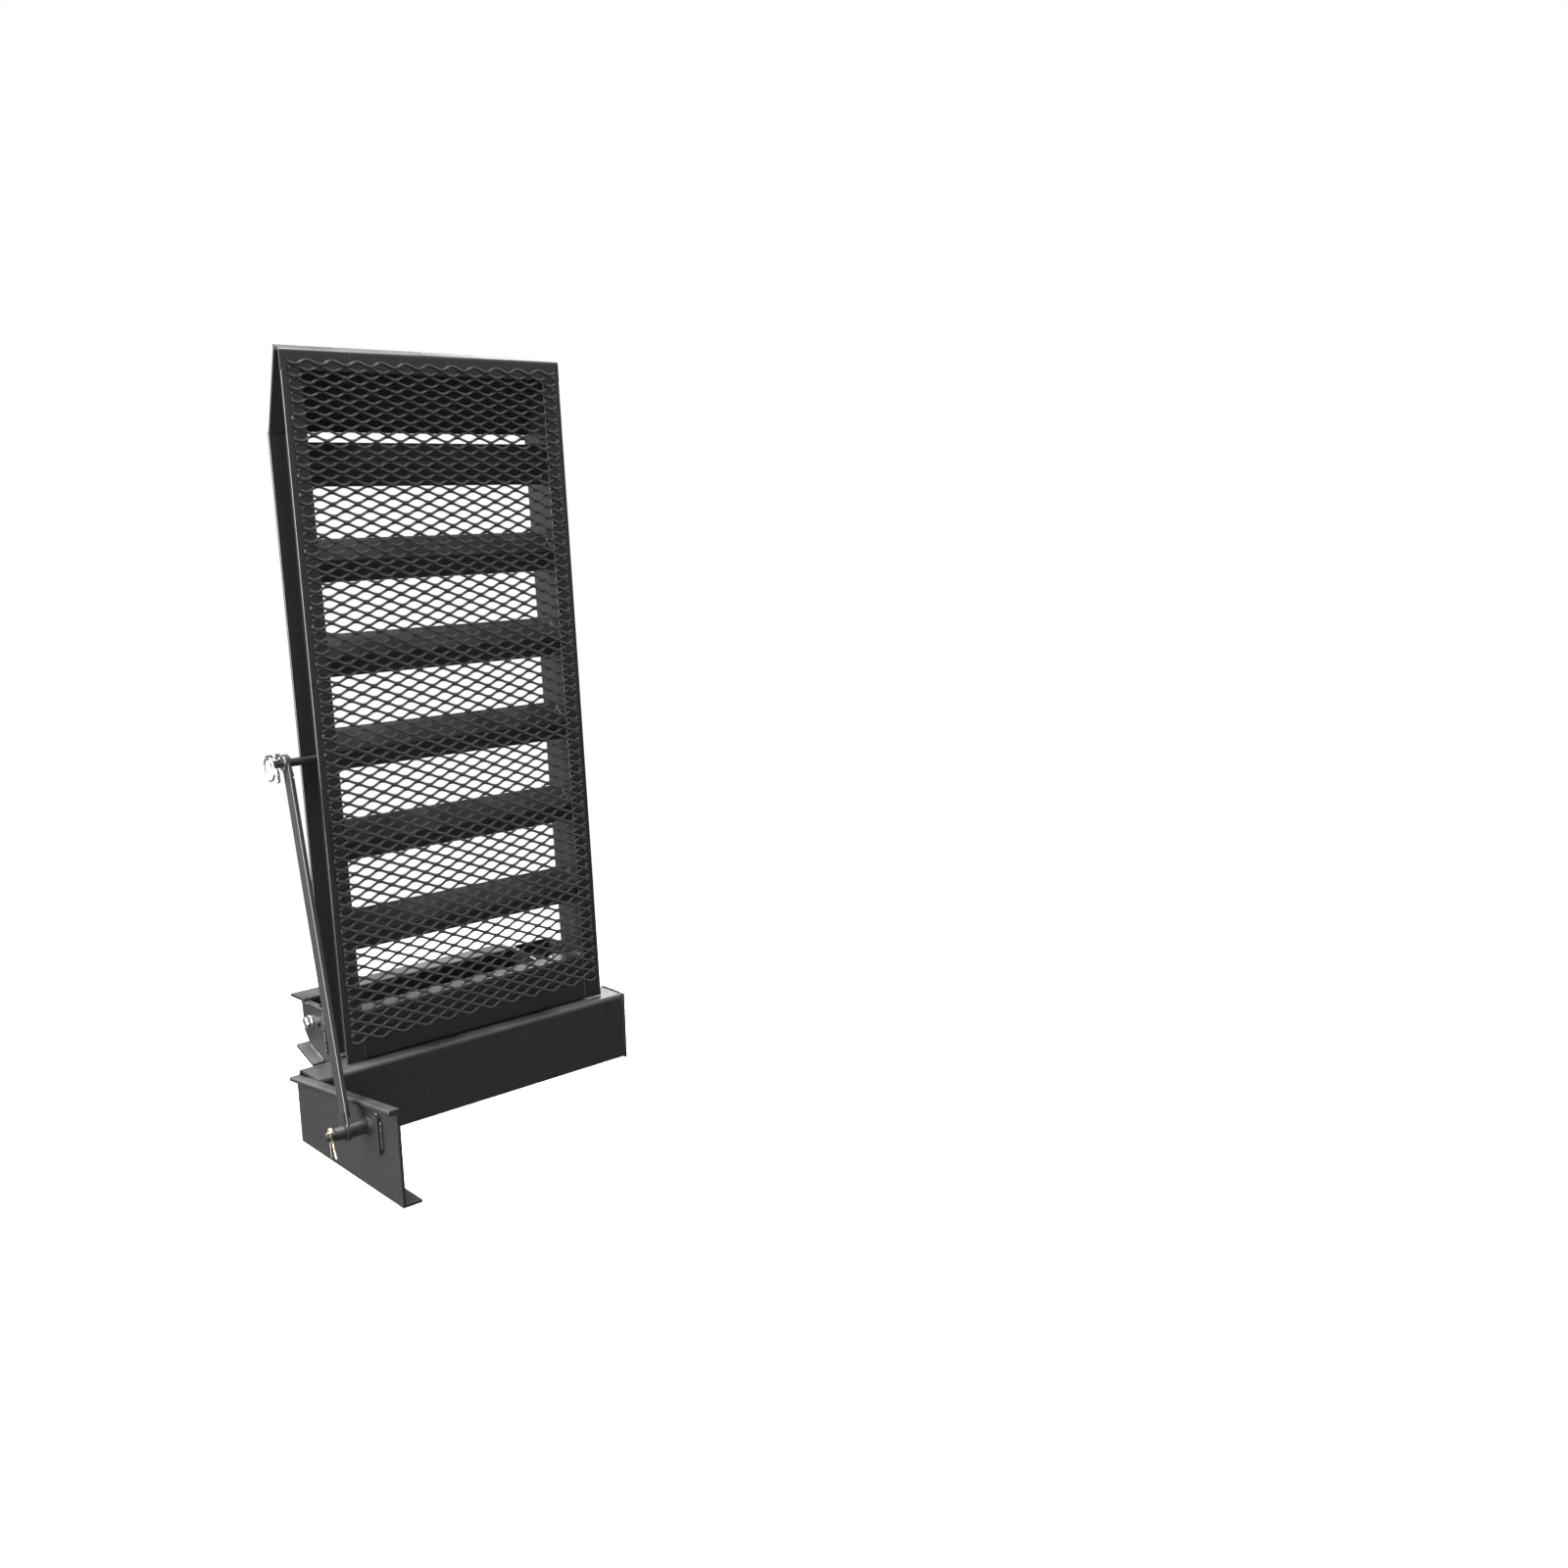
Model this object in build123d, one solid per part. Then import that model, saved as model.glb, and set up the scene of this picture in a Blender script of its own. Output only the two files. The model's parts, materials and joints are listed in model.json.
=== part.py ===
from build123d import *
import math
import os

# Stand-up loading ramp with expanded-metal tread, on a stub of the trailer tail it hinges from.
# Millimetres. +X across the ramp to the right, +Y rearward (the way the ramp falls), +Z up.
# The origin is the middle of the forward face of the tail beam, which is the face that is welded on.

# ---- ramp frame -------------------------------------------------------------------------------
RAMP_WIDTH = 610.0
RAMP_LENGTH = 1376.0
LEAN_DEG = 2.0
RAIL_DEPTH = 86.0
RAIL_FLANGE = 41.0
RAIL_WEB_T = 5.0
RAIL_FLANGE_T = 6.0
RAIL_ROOT_R = 6.0
TAPER_LENGTH = 143.0
TIP_DEPTH = 25.0
TIP_RISE = 11.0
TIP_LEG = 38.0
TIP_T = 6.0
TIP_BEND_R = 7.0
SKID_T = 5.0
RUNG_COUNT = 6
RUNG_LEG = 60.0
RUNG_T = 6.0
RUNG_TOP_DROP = 207.0
RUNG_LOW_S = 256.5
RUNG_SETBACK = -0.7
RUNG_RIDGE_R = 3.0
FOOT_HEIGHT = 100.0
FOOT_DEPTH = 45.0
FOOT_T = 6.0
BEND_OUTER_R = 6.0
BEND_INNER_R = 3.0
EDGE_R = 1.5
BORE_OVERRUN = 1.0

# ---- tread sheet ------------------------------------------------------------------------------
MESH_T = 3.4
MESH_LONG = 50.8
MESH_SHORT = 23.4
MESH_STRAND = 3.6
MESH_SIDE_INSET = 13.0
MESH_TOP_INSET = 15.0
MESH_FOOT_S = 38.0
MESH_RIM = 3.0

# ---- heel foot behind the rails ---------------------------------------------------------------
HEEL_REACH = 190.0
HEEL_LOW_S = 33.0
HEEL_PLATE_T = 6.0
HEEL_BLADE = 53.0
HEEL_ANGLE_T = 6.0
HEEL_TAB_T = 8.0
HEEL_TAB_WIDTH = 56.0
HEEL_TAB_LOW_S = 35.0
HEEL_BOLT_D = 16.0
HEEL_BOLT_HOLE_GAP = 0.5
HEEL_BOLT_INSET = 33.0
HEEL_BOLT_S = 56.0
HEEL_SPARE_HOLE_D = 13.0
HEEL_SPARE_INSET = 29.0
HEEL_SPARE_S = 56.0
HEEL_BOX_WIDTH = 105.0
HEEL_INNER_LOW_S = 10.0
HEEL_INNER_FRONT_S = 73.0
HEEL_BOX_S = 103.0
KICK_INSET = 12.0
KICK_BACK_S = 10.5
KICK_LENGTH = 78.0
KICK_T = 6.0
KICK_OVERHANG = 25.0
KICK_SLOPE_DEG = 20.0
HEEL_CHAMFER = 22.0
BOLT_HEAD_SHARE = 0.625
NUT_HEIGHT = 13.0
NUT_ACROSS = 24.0
WASHER_T = 3.0
WASHER_D = 30.0

# ---- hinge ------------------------------------------------------------------------------------
HINGE_BEHIND_BEAM = 40.0
HINGE_S = -44.0
HINGE_PIN_D = 25.0
HINGE_PIN_GAP = 0.08
HINGE_BARREL_D = 40.0
HINGE_BARREL_LENGTH = 44.0
HINGE_LOBE_R = 20.0
HINGE_NECK_GAP = 2.0
LUG_T = 10.0
LUG_R = 20.0
LUG_SIDE_GAP = 1.5
LUG_ROOT_HEIGHT = 78.0
LUG_TOP_DROP = 1.0
PIN_END = 16.0
COTTER_D = 5.0
COTTER_LENGTH = 40.0
COTTER_EYE_R = 7.0
COTTER_INSET = 6.0
PIN_COLLAR_D = 38.0
PIN_COLLAR_T = 4.0

# ---- tail of the trailer ----------------------------------------------------------------------
BEAM_DEPTH = 84.0
BEAM_HEIGHT = 150.0
BEAM_T = 5.0
BEAM_BEND_R = 10.0
TREAD_SETBACK = 26.0
FOOT_REST_GAP = 0.5
BEAM_RIGHT_MARGIN = 40.0
SIDE_OUTBOARD = 81.0
SIDE_T = 6.0
SIDE_FLANGE = 38.0
SIDE_FORWARD = 360.0
SIDE_DROP = 12.0
SIDE_SLOPE = 0.12
RIM_OUT = 15.0
RIM_T = 10.0
RIM_R = 4.0
CORNER_CAP_T = 5.0

# ---- brace ------------------------------------------------------------------------------------
STUD_D = 16.0
STUD_S = 607.0
STUD_N = 43.0
STUD_EYE_GAP = 0.6
STUD_PAD_D = 40.0
STUD_PAD_T = 6.0
STUD_COLLAR_D = 26.0
STUD_COLLAR_T = 3.0
BRACE_TOP_OUT = 47.0
BRACE_FOOT_OUT = 130.0
BRACE_FOOT_Y = -230.0
BRACE_FOOT_Z = 55.0
BRACE_EYE_T = 8.0
BRACE_EYE_R = 17.0
BRACE_TAB_LENGTH = 32.0
BRACE_TAB_HALF = 13.6
BRACE_LEG_WIDE = 32.0
BRACE_LEG_NARROW = 20.0
BRACE_LEG_T = 4.0
BRACE_BEND_R = 4.0
BRACE_END_CLEAR = 26.0
PIVOT_D = 16.0
PIVOT_GAP = 0.08
PIVOT_SIDE_GAP = 0.5
BRACKET_W = 84.0
BRACKET_ABOVE = 28.0
BRACKET_BELOW = 48.0
BRACKET_T = 8.0
SLEEVE_D = 28.0
SPACER_D = 24.0
SPACER_LENGTH = 18.0
PIVOT_TIP = 36.0

# ---- retaining clips --------------------------------------------------------------------------
LINCH_D = 9.0
LINCH_GAP = 0.3
LINCH_LENGTH = 46.0
LINCH_HEAD_D = 16.0
LINCH_HEAD_H = 11.0
LINCH_ARM_H = 8.8
LINCH_LIFT = 1.5
LINCH_INSET = 11.0
STUD_TIP = 8.0
RING_WIRE_D = 4.0
RING_R = 22.5
RING_STANDOFF = 15.0
RING_PIVOT_GAP = 0.7
CLIP_WIRE_D = 3.4
CLIP_GAP = 0.25
CLIP_LEG = 42.0
CLIP_ABOVE_PIN = 2.5
CLIP_OUTER_GAP = 3.3
CLIP_INSET = 8.0
CLIP_FLARE_DEG = 12.0

# ---- places that follow from the sizes above --------------------------------------------------
HALF = RAMP_WIDTH / 2
WEB_OUT = HALF - RAIL_FLANGE + RAIL_WEB_T
WEB_IN = HALF - RAIL_FLANGE
TAPER_S = RAMP_LENGTH - TAPER_LENGTH
TAPER_N = RAIL_DEPTH - RAIL_FLANGE_T
TIP_DROP = TIP_T * math.hypot(TIP_DEPTH, TIP_RISE) / TIP_DEPTH
BEAM_TOP = BEAM_HEIGHT / 2
RUNG_TOP_S = RAMP_LENGTH - RUNG_TOP_DROP
RUNG_PITCH = (RUNG_TOP_S - RUNG_LOW_S) / (RUNG_COUNT - 1)
HINGE_N = BEAM_DEPTH - TREAD_SETBACK + HINGE_BEHIND_BEAM
HEEL_BOLT_N = HEEL_REACH - HEEL_BOLT_INSET
HEEL_SPARE_N = RAIL_DEPTH + HEEL_SPARE_INSET
HEEL_BLADE_RIGHT = HALF - HEEL_BOX_WIDTH
KICK_BACK_N = HEEL_REACH - KICK_INSET
CHAMFER_N = HEEL_REACH - HEEL_CHAMFER
CLIP_SPREAD = PIVOT_D / 2 + CLIP_WIRE_D / 2 + CLIP_OUTER_GAP
LEAN = math.radians(LEAN_DEG)
FOOT_Z = BEAM_TOP + (BEAM_DEPTH - TREAD_SETBACK) * math.tan(LEAN) + FOOT_REST_GAP
RAMP_PLACE = Pos(0, TREAD_SETBACK, FOOT_Z) * Rot(-LEAN_DEG, 0, 0)


def on_trailer(n, s):
    """Y and Z of a ramp point n behind the tread face and s above the foot, when the ramp stands."""
    y = TREAD_SETBACK + n * math.cos(LEAN) + s * math.sin(LEAN)
    z = FOOT_Z + s * math.cos(LEAN) - n * math.sin(LEAN)
    return y, z


HINGE_Y, HINGE_Z = on_trailer(HINGE_N, HINGE_S)
STUD_Y, STUD_Z = on_trailer(STUD_N, STUD_S)


def tip_inside(n):
    """Height of the inner face of the tip cap's end leg at n behind the tread face."""
    return RAMP_LENGTH + TIP_RISE * n / TIP_DEPTH - TIP_DROP


TIP_INNER_S = tip_inside(TIP_DEPTH)
SKID_ACROSS = SKID_T * math.hypot(TIP_INNER_S - TAPER_S, TAPER_N - TIP_DEPTH) / (TIP_INNER_S - TAPER_S)
SKID_TOP_N = TIP_DEPTH - SKID_ACROSS


# ---- shapes used all over the model -----------------------------------------------------------
def block(x, y, z):
    """A box from three (low, high) pairs."""
    size = (x[1] - x[0], y[1] - y[0], z[1] - z[0])
    middle = ((x[0] + x[1]) / 2, (y[0] + y[1]) / 2, (z[0] + z[1]) / 2)
    return Pos(*middle) * Box(*size)


def slab(points, x):
    """An outline of (y, z) points carried along X from x[0] to x[1]."""
    outline = make_face(Polyline(*points, close=True))
    return extrude(Plane.YZ.offset(x[0]) * outline, amount=x[1] - x[0])


def rod(y, z, diameter, x):
    """A round bar along X."""
    middle = (x[0] + x[1]) / 2
    return Pos(middle, y, z) * Rot(0, 90, 0) * Cylinder(diameter / 2, x[1] - x[0])


def bore(y, z, diameter, x):
    """A round bar along X that overruns both ends, to cut a hole with."""
    return rod(y, z, diameter, (x[0] - BORE_OVERRUN, x[1] + BORE_OVERRUN))


def post(x, y, diameter, z):
    """A round bar along Z."""
    return Pos(x, y, (z[0] + z[1]) / 2) * Cylinder(diameter / 2, z[1] - z[0])


def span(side, near, far):
    """The (low, high) pair between two distances from the middle, on the left (-1) or right (+1)."""
    return tuple(sorted((side * near, side * far)))


def rounded_section(points, radii):
    """A closed section of (x, y) points, with each numbered corner rounded to its radius."""
    section = make_face(Polyline(*points, close=True))
    for number, radius in radii.items():
        corner = section.vertices().sort_by_distance(Vector(*points[number]))[0]
        section = fillet(corner, radius)
    return section


def carried(section, x):
    """A section of (y, z) points carried along X from x[0] to x[1]."""
    return extrude(Plane.YZ.offset(x[0]) * section, amount=x[1] - x[0])


# ---- the ramp's own frame: X across, Y = n behind the tread face, Z = s up from the foot --------
def rail(side):
    """Side channel with its flanges outward, cut to a taper at the tip."""
    points = [
        (side * WEB_IN, 0),
        (side * HALF, 0),
        (side * HALF, RAIL_FLANGE_T),
        (side * WEB_OUT, RAIL_FLANGE_T),
        (side * WEB_OUT, TAPER_N),
        (side * HALF, TAPER_N),
        (side * HALF, RAIL_DEPTH),
        (side * WEB_IN, RAIL_DEPTH),
    ]
    radii = dict.fromkeys(range(len(points)), EDGE_R)
    radii[3] = RAIL_ROOT_R
    radii[4] = RAIL_ROOT_R
    channel = extrude(rounded_section(points, radii), amount=RAMP_LENGTH)
    beyond = RAMP_LENGTH + RAIL_DEPTH
    cut_off = [
        (2 * RAIL_DEPTH, TAPER_S),
        (TAPER_N - SKID_ACROSS, TAPER_S),
        (SKID_TOP_N, tip_inside(SKID_TOP_N)),
        (TIP_T, tip_inside(TIP_T)),
        (TIP_T, RAMP_LENGTH - TIP_LEG),
        (-RAIL_DEPTH, RAMP_LENGTH - TIP_LEG),
        (-RAIL_DEPTH, beyond),
        (2 * RAIL_DEPTH, beyond),
    ]
    return channel - slab(cut_off, span(side, WEB_IN - RAIL_FLANGE, HALF + RAIL_FLANGE))


def rung(s):
    """Angle iron between the rails with its ridge towards the tread."""
    leg = RUNG_LEG / math.sqrt(2)
    thick = RUNG_T * math.sqrt(2)
    outline = [
        (RUNG_SETBACK, s),
        (RUNG_SETBACK + leg, s + leg),
        (RUNG_SETBACK + leg + thick / 2, s + leg - thick / 2),
        (RUNG_SETBACK + thick, s),
        (RUNG_SETBACK + leg + thick / 2, s - leg + thick / 2),
        (RUNG_SETBACK + leg, s - leg),
    ]
    radii = {0: RUNG_RIDGE_R, 1: EDGE_R, 2: EDGE_R, 3: RAIL_ROOT_R, 4: EDGE_R, 5: EDGE_R}
    return carried(rounded_section(outline, radii), (-WEB_IN, WEB_IN))


def tip_cap():
    """Bent plate over the tip: a front leg under the tread and an end leg that rises to the back."""
    top = RAMP_LENGTH
    points = [
        (0, top - TIP_LEG),
        (0, top),
        (TIP_DEPTH, top + TIP_RISE),
        (TIP_DEPTH, TIP_INNER_S),
        (TIP_T, tip_inside(TIP_T)),
        (TIP_T, top - TIP_LEG),
    ]
    radii = {0: EDGE_R, 1: TIP_BEND_R, 2: EDGE_R}
    return carried(rounded_section(points, radii), (-HALF, HALF))


def tip_skid_plate():
    """Plate across the underside of the taper, which the tip slides on when it meets the ground."""
    outline = [
        (TAPER_N - SKID_ACROSS, TAPER_S),
        (TAPER_N, TAPER_S),
        (TIP_DEPTH, TIP_INNER_S),
        (SKID_TOP_N, tip_inside(SKID_TOP_N)),
    ]
    return slab(outline, (-HALF, HALF))


def foot_channel():
    """Channel across the foot, web to the front."""
    outline = [
        (0, 0),
        (FOOT_DEPTH, 0),
        (FOOT_DEPTH, FOOT_T),
        (FOOT_T, FOOT_T),
        (FOOT_T, FOOT_HEIGHT - FOOT_T),
        (FOOT_DEPTH, FOOT_HEIGHT - FOOT_T),
        (FOOT_DEPTH, FOOT_HEIGHT),
        (0, FOOT_HEIGHT),
    ]
    radii = {0: BEND_OUTER_R, 3: BEND_INNER_R, 4: BEND_INNER_R, 7: BEND_OUTER_R, 1: EDGE_R, 6: EDGE_R}
    return carried(rounded_section(outline, radii), (-WEB_IN, WEB_IN))


def tread_mesh():
    """Raised diamond sheet welded over the front of the frame, its long way across the ramp."""
    half_width = HALF - MESH_SIDE_INSET
    low = MESH_FOOT_S
    high = RAMP_LENGTH - MESH_TOP_INSET
    long_half = MESH_LONG / 2
    short_half = MESH_SHORT / 2
    keep = 1 - MESH_STRAND / 2 * math.hypot(long_half, short_half) / (long_half * short_half)
    a = keep * long_half
    b = keep * short_half
    corners = [(-half_width, low), (half_width, low), (half_width, high), (-half_width, high)]
    outline = Polyline(*corners, close=True)
    openings = []
    rows = int((high - low) / short_half)
    columns = int(half_width / long_half) + 2
    for row in range(rows + 1):
        s = low + row * short_half
        if s - b < low + MESH_RIM or s + b > high - MESH_RIM:
            continue
        for column in range(-columns, columns + 1):
            x = (2 * column + row % 2) * long_half
            if abs(x) + a > half_width - MESH_RIM:
                continue
            openings.append(Polyline((x - a, s), (x, s - b), (x + a, s), (x, s + b), close=True))
    wires = [Wire(line.edges()) for line in openings]
    sheet = Face(Wire(outline.edges()), wires)
    return extrude(Plane.XZ * sheet, amount=MESH_T)


def kick_top(n):
    """Height of the kick plate's upper face at n behind the tread face."""
    return KICK_BACK_S - (KICK_BACK_N - n) * math.tan(math.radians(KICK_SLOPE_DEG))


KICK_FRONT_N = KICK_BACK_N - KICK_LENGTH * math.cos(math.radians(KICK_SLOPE_DEG))


def heel_neck(side):
    """The part of the heel plate that reaches down to the hinge line."""
    x = span(side, HALF - HEEL_PLATE_T, HALF)
    return block(x, (HINGE_N - HINGE_LOBE_R, HINGE_N + HINGE_LOBE_R), (HINGE_S, -HINGE_NECK_GAP))


def heel_plate(side):
    """Side plate of the heel foot, welded behind the rail, with the lobe that holds the hinge."""
    x = span(side, HALF - HEEL_PLATE_T, HALF)
    top = FOOT_HEIGHT - HEEL_ANGLE_T if side < 0 else FOOT_HEIGHT
    outline = [
        (RAIL_DEPTH, -HINGE_NECK_GAP),
        (HINGE_N + HINGE_LOBE_R, -HINGE_NECK_GAP),
        (HINGE_N + HINGE_LOBE_R, kick_top(HINGE_N + HINGE_LOBE_R)),
        (CHAMFER_N, kick_top(CHAMFER_N)),
        (HEEL_REACH, HEEL_LOW_S),
        (HEEL_REACH, top),
        (RAIL_DEPTH, top),
    ]
    lobe = rod(HINGE_N, HINGE_S, 2 * HINGE_LOBE_R, x)
    plate = slab(outline, x) + heel_neck(side) + lobe
    plate = plate - bore(HINGE_N, HINGE_S, HINGE_PIN_D + 2 * HINGE_PIN_GAP, x)
    plate = plate - bore(HEEL_BOLT_N, HEEL_BOLT_S, HEEL_BOLT_D + 2 * HEEL_BOLT_HOLE_GAP, x)
    return plate - bore(HEEL_SPARE_N, HEEL_SPARE_S, HEEL_SPARE_HOLE_D, x)


def hinge_barrel(side):
    """Bored boss on the inside of the heel plate."""
    x = span(side, HALF - HEEL_PLATE_T - HINGE_BARREL_LENGTH, HALF - HEEL_PLATE_T)
    outside = rod(HINGE_N, HINGE_S, HINGE_BARREL_D, x)
    return outside - bore(HINGE_N, HINGE_S, HINGE_PIN_D + 2 * HINGE_PIN_GAP, x)


def heel_angle():
    """Cross angle at the back of the heel: a blade pointing back and a leg down beside the left plate."""
    front = HEEL_REACH - HEEL_ANGLE_T
    under = FOOT_HEIGHT - HEEL_ANGLE_T
    outline = [
        (front, FOOT_HEIGHT),
        (front, HEEL_LOW_S),
        (HEEL_REACH, HEEL_LOW_S),
        (HEEL_REACH, under),
        (HEEL_REACH + HEEL_BLADE, under),
        (HEEL_REACH + HEEL_BLADE, FOOT_HEIGHT),
    ]
    radii = {0: BEND_OUTER_R, 3: BEND_INNER_R, 4: EDGE_R, 5: EDGE_R}
    angle = carried(rounded_section(outline, radii), (-HALF, HEEL_BLADE_RIGHT))
    over_plate = (-HALF - BORE_OVERRUN, -HALF + HEEL_PLATE_T)
    return angle - block(over_plate, (front - HEEL_REACH, HEEL_REACH), (0, under))


def heel_inner_plate():
    """Plate along the ramp that closes the right end of the cross angle."""
    outline = [
        (FOOT_T, HEEL_INNER_LOW_S),
        (KICK_FRONT_N, HEEL_INNER_LOW_S),
        (KICK_FRONT_N, kick_top(KICK_FRONT_N)),
        (CHAMFER_N, kick_top(CHAMFER_N)),
        (HEEL_REACH, HEEL_LOW_S),
        (HEEL_REACH, FOOT_HEIGHT),
        (FOOT_T, HEEL_INNER_FRONT_S),
    ]
    return slab(outline, (HEEL_BLADE_RIGHT, HEEL_BLADE_RIGHT + HEEL_PLATE_T))


def heel_box_plate():
    """Back plate between the inner plate and the right heel plate."""
    x = (HEEL_BLADE_RIGHT + HEEL_PLATE_T, HALF - HEEL_PLATE_T)
    return block(x, (HEEL_REACH - HEEL_ANGLE_T, HEEL_REACH), (HEEL_LOW_S, HEEL_BOX_S))


def heel_tab(side):
    """Tab welded to the cross angle or the box plate, bolted through the heel plate."""
    x = span(side, HALF - HEEL_PLATE_T - HEEL_TAB_T, HALF - HEEL_PLATE_T)
    n = (HEEL_REACH - HEEL_ANGLE_T - HEEL_TAB_WIDTH, HEEL_REACH - HEEL_ANGLE_T)
    s = (HEEL_TAB_LOW_S, FOOT_HEIGHT - HEEL_ANGLE_T)
    return block(x, n, s) - bore(HEEL_BOLT_N, HEEL_BOLT_S, HEEL_BOLT_D + 2 * HEEL_BOLT_HOLE_GAP, x)


def hexagon(x, across):
    """Hexagonal prism along X on the heel bolt's line."""
    outline = Rot(0, 0, 30) * RegularPolygon(across / 2, 6, major_radius=False)
    placed = Plane.YZ.offset(x[0]) * Pos(HEEL_BOLT_N, HEEL_BOLT_S) * outline
    return extrude(placed, amount=x[1] - x[0])


def heel_bolt(side):
    """Bolt with its hex head outside the heel plate."""
    seat = HALF + WASHER_T
    head = hexagon(span(side, seat, seat + HEEL_BOLT_D * BOLT_HEAD_SHARE), NUT_ACROSS)
    tail = HALF - HEEL_PLATE_T - HEEL_TAB_T - WASHER_T - NUT_HEIGHT - HEEL_BOLT_D / 4
    return head + rod(HEEL_BOLT_N, HEEL_BOLT_S, HEEL_BOLT_D, span(side, tail, seat))


def heel_nut(side):
    """Nut inside the tab."""
    outer = HALF - HEEL_PLATE_T - HEEL_TAB_T - WASHER_T
    x = span(side, outer - NUT_HEIGHT, outer)
    return hexagon(x, NUT_ACROSS) - bore(HEEL_BOLT_N, HEEL_BOLT_S, HEEL_BOLT_D, x)


def heel_washer(side, near):
    """Flat washer on the heel bolt, starting near from the middle."""
    x = span(side, near, near + WASHER_T)
    return rod(HEEL_BOLT_N, HEEL_BOLT_S, WASHER_D, x) - bore(HEEL_BOLT_N, HEEL_BOLT_S, HEEL_BOLT_D, x)


def kick_plate():
    """Sloped plate under the heel, welded to the plates' lower edges and longer than the ramp is wide."""
    drop = KICK_T / math.cos(math.radians(KICK_SLOPE_DEG))
    outline = [
        (KICK_BACK_N, kick_top(KICK_BACK_N)),
        (KICK_FRONT_N, kick_top(KICK_FRONT_N)),
        (KICK_FRONT_N, kick_top(KICK_FRONT_N) - drop),
        (KICK_BACK_N, kick_top(KICK_BACK_N) - drop),
    ]
    reach = HALF + KICK_OVERHANG
    plate = slab(outline, (-reach, reach)) - heel_neck(-1) - heel_neck(1)
    swept = 2 * (LUG_R + LUG_SIDE_GAP)
    for side in (-1, 1):
        x = span(side, pin_inner_end() - LUG_SIDE_GAP, reach)
        plate = plate - bore(HINGE_N, HINGE_S, swept, x)
    return plate


def brace_stud():
    """Stud on the left rail that the brace's upper eye hooks over, with a cross hole for the linchpin."""
    tip_x = -(linch_out() + STUD_TIP)
    stud = rod(STUD_N, STUD_S, STUD_D, (tip_x, -WEB_OUT))
    return stud - post(-linch_out(), STUD_N, LINCH_D + 2 * LINCH_GAP, (STUD_S - STUD_D, STUD_S + STUD_D))


def linch_out():
    """Distance of the linchpin's axis from the ramp's middle."""
    return HALF + BRACE_TOP_OUT + BRACE_EYE_T / 2 + WASHER_T + LINCH_INSET


def stud_pad():
    """Round doubler that spreads the stud's load into the rail's web."""
    x = (-WEB_OUT - STUD_PAD_T, -WEB_OUT)
    return rod(STUD_N, STUD_S, STUD_PAD_D, x) - bore(STUD_N, STUD_S, STUD_D, x)


def stud_collar():
    """Collar on the stud that stops the eye from sliding inboard."""
    outer = -(HALF + BRACE_TOP_OUT - BRACE_EYE_T / 2 - PIVOT_SIDE_GAP)
    x = (outer, outer + STUD_COLLAR_T)
    return rod(STUD_N, STUD_S, STUD_COLLAR_D, x) - bore(STUD_N, STUD_S, STUD_D, x)


def stud_washer():
    """Loose washer between the eye and the linchpin."""
    inner = -(HALF + BRACE_TOP_OUT + BRACE_EYE_T / 2 + PIVOT_SIDE_GAP)
    x = (inner - WASHER_T, inner)
    return rod(STUD_N, STUD_S, WASHER_D, x) - bore(STUD_N, STUD_S, STUD_D + 2 * STUD_EYE_GAP, x)


LINCH_HEAD_S = STUD_S + STUD_D / 2 + LINCH_LIFT


def linchpin():
    """Shank through the stud's cross hole, with a head that carries the ring."""
    x = -linch_out()
    shank = post(x, STUD_N, LINCH_D, (LINCH_HEAD_S - LINCH_LENGTH, LINCH_HEAD_S))
    shank = chamfer(shank.edges().sort_by(Axis.Z)[0], LINCH_D / 4)
    head = post(x, STUD_N, LINCH_HEAD_D, (LINCH_HEAD_S, LINCH_HEAD_S + LINCH_HEAD_H))
    arm_z = LINCH_HEAD_S + LINCH_HEAD_H / 2
    arm = block(
        (x - RING_STANDOFF - RING_WIRE_D, x),
        (STUD_N - LINCH_HEAD_D / 4, STUD_N + LINCH_HEAD_D / 4),
        (arm_z - LINCH_ARM_H / 2, arm_z + LINCH_ARM_H / 2),
    )
    hole_d = RING_WIRE_D + 2 * RING_PIVOT_GAP
    hole = Pos(x - RING_STANDOFF, STUD_N, arm_z) * Rot(90, 0, 0) * Cylinder(hole_d / 2, LINCH_HEAD_D)
    return shank + head + arm - hole


def linchpin_ring():
    """Round spring-wire ring that hangs from the linchpin's head, outboard of the stud."""
    x = -linch_out() - RING_STANDOFF
    arm_z = LINCH_HEAD_S + LINCH_HEAD_H / 2
    return Pos(x, STUD_N, arm_z - RING_R) * Rot(0, 90, 0) * Torus(RING_R, RING_WIRE_D / 2)


# ---- pieces fixed to the trailer ----------------------------------------------------------------
SIDE_FACE = -HALF - SIDE_OUTBOARD
BEAM_X = (SIDE_FACE + SIDE_T, HALF + BEAM_RIGHT_MARGIN)


def tail_beam():
    """Box section across the tail, which the ramp's foot stands on."""
    low = -BEAM_HEIGHT / 2
    points = [(0, low), (BEAM_DEPTH, low), (BEAM_DEPTH, BEAM_TOP), (0, BEAM_TOP)]
    outer = rounded_section(points, {number: BEAM_BEND_R for number in range(4)})
    inner_points = [
        (BEAM_T, low + BEAM_T),
        (BEAM_DEPTH - BEAM_T, low + BEAM_T),
        (BEAM_DEPTH - BEAM_T, BEAM_TOP - BEAM_T),
        (BEAM_T, BEAM_TOP - BEAM_T),
    ]
    inner = rounded_section(inner_points, {number: BEAM_BEND_R - BEAM_T for number in range(4)})
    return carried(outer, BEAM_X) - carried(inner, (BEAM_X[0] - BORE_OVERRUN, BEAM_X[1] + BORE_OVERRUN))


def beam_end_cap():
    """Plate closing the beam's open right end."""
    return block((BEAM_X[1], BEAM_X[1] + CORNER_CAP_T), (0, BEAM_DEPTH), (-BEAM_TOP, BEAM_TOP))


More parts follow.
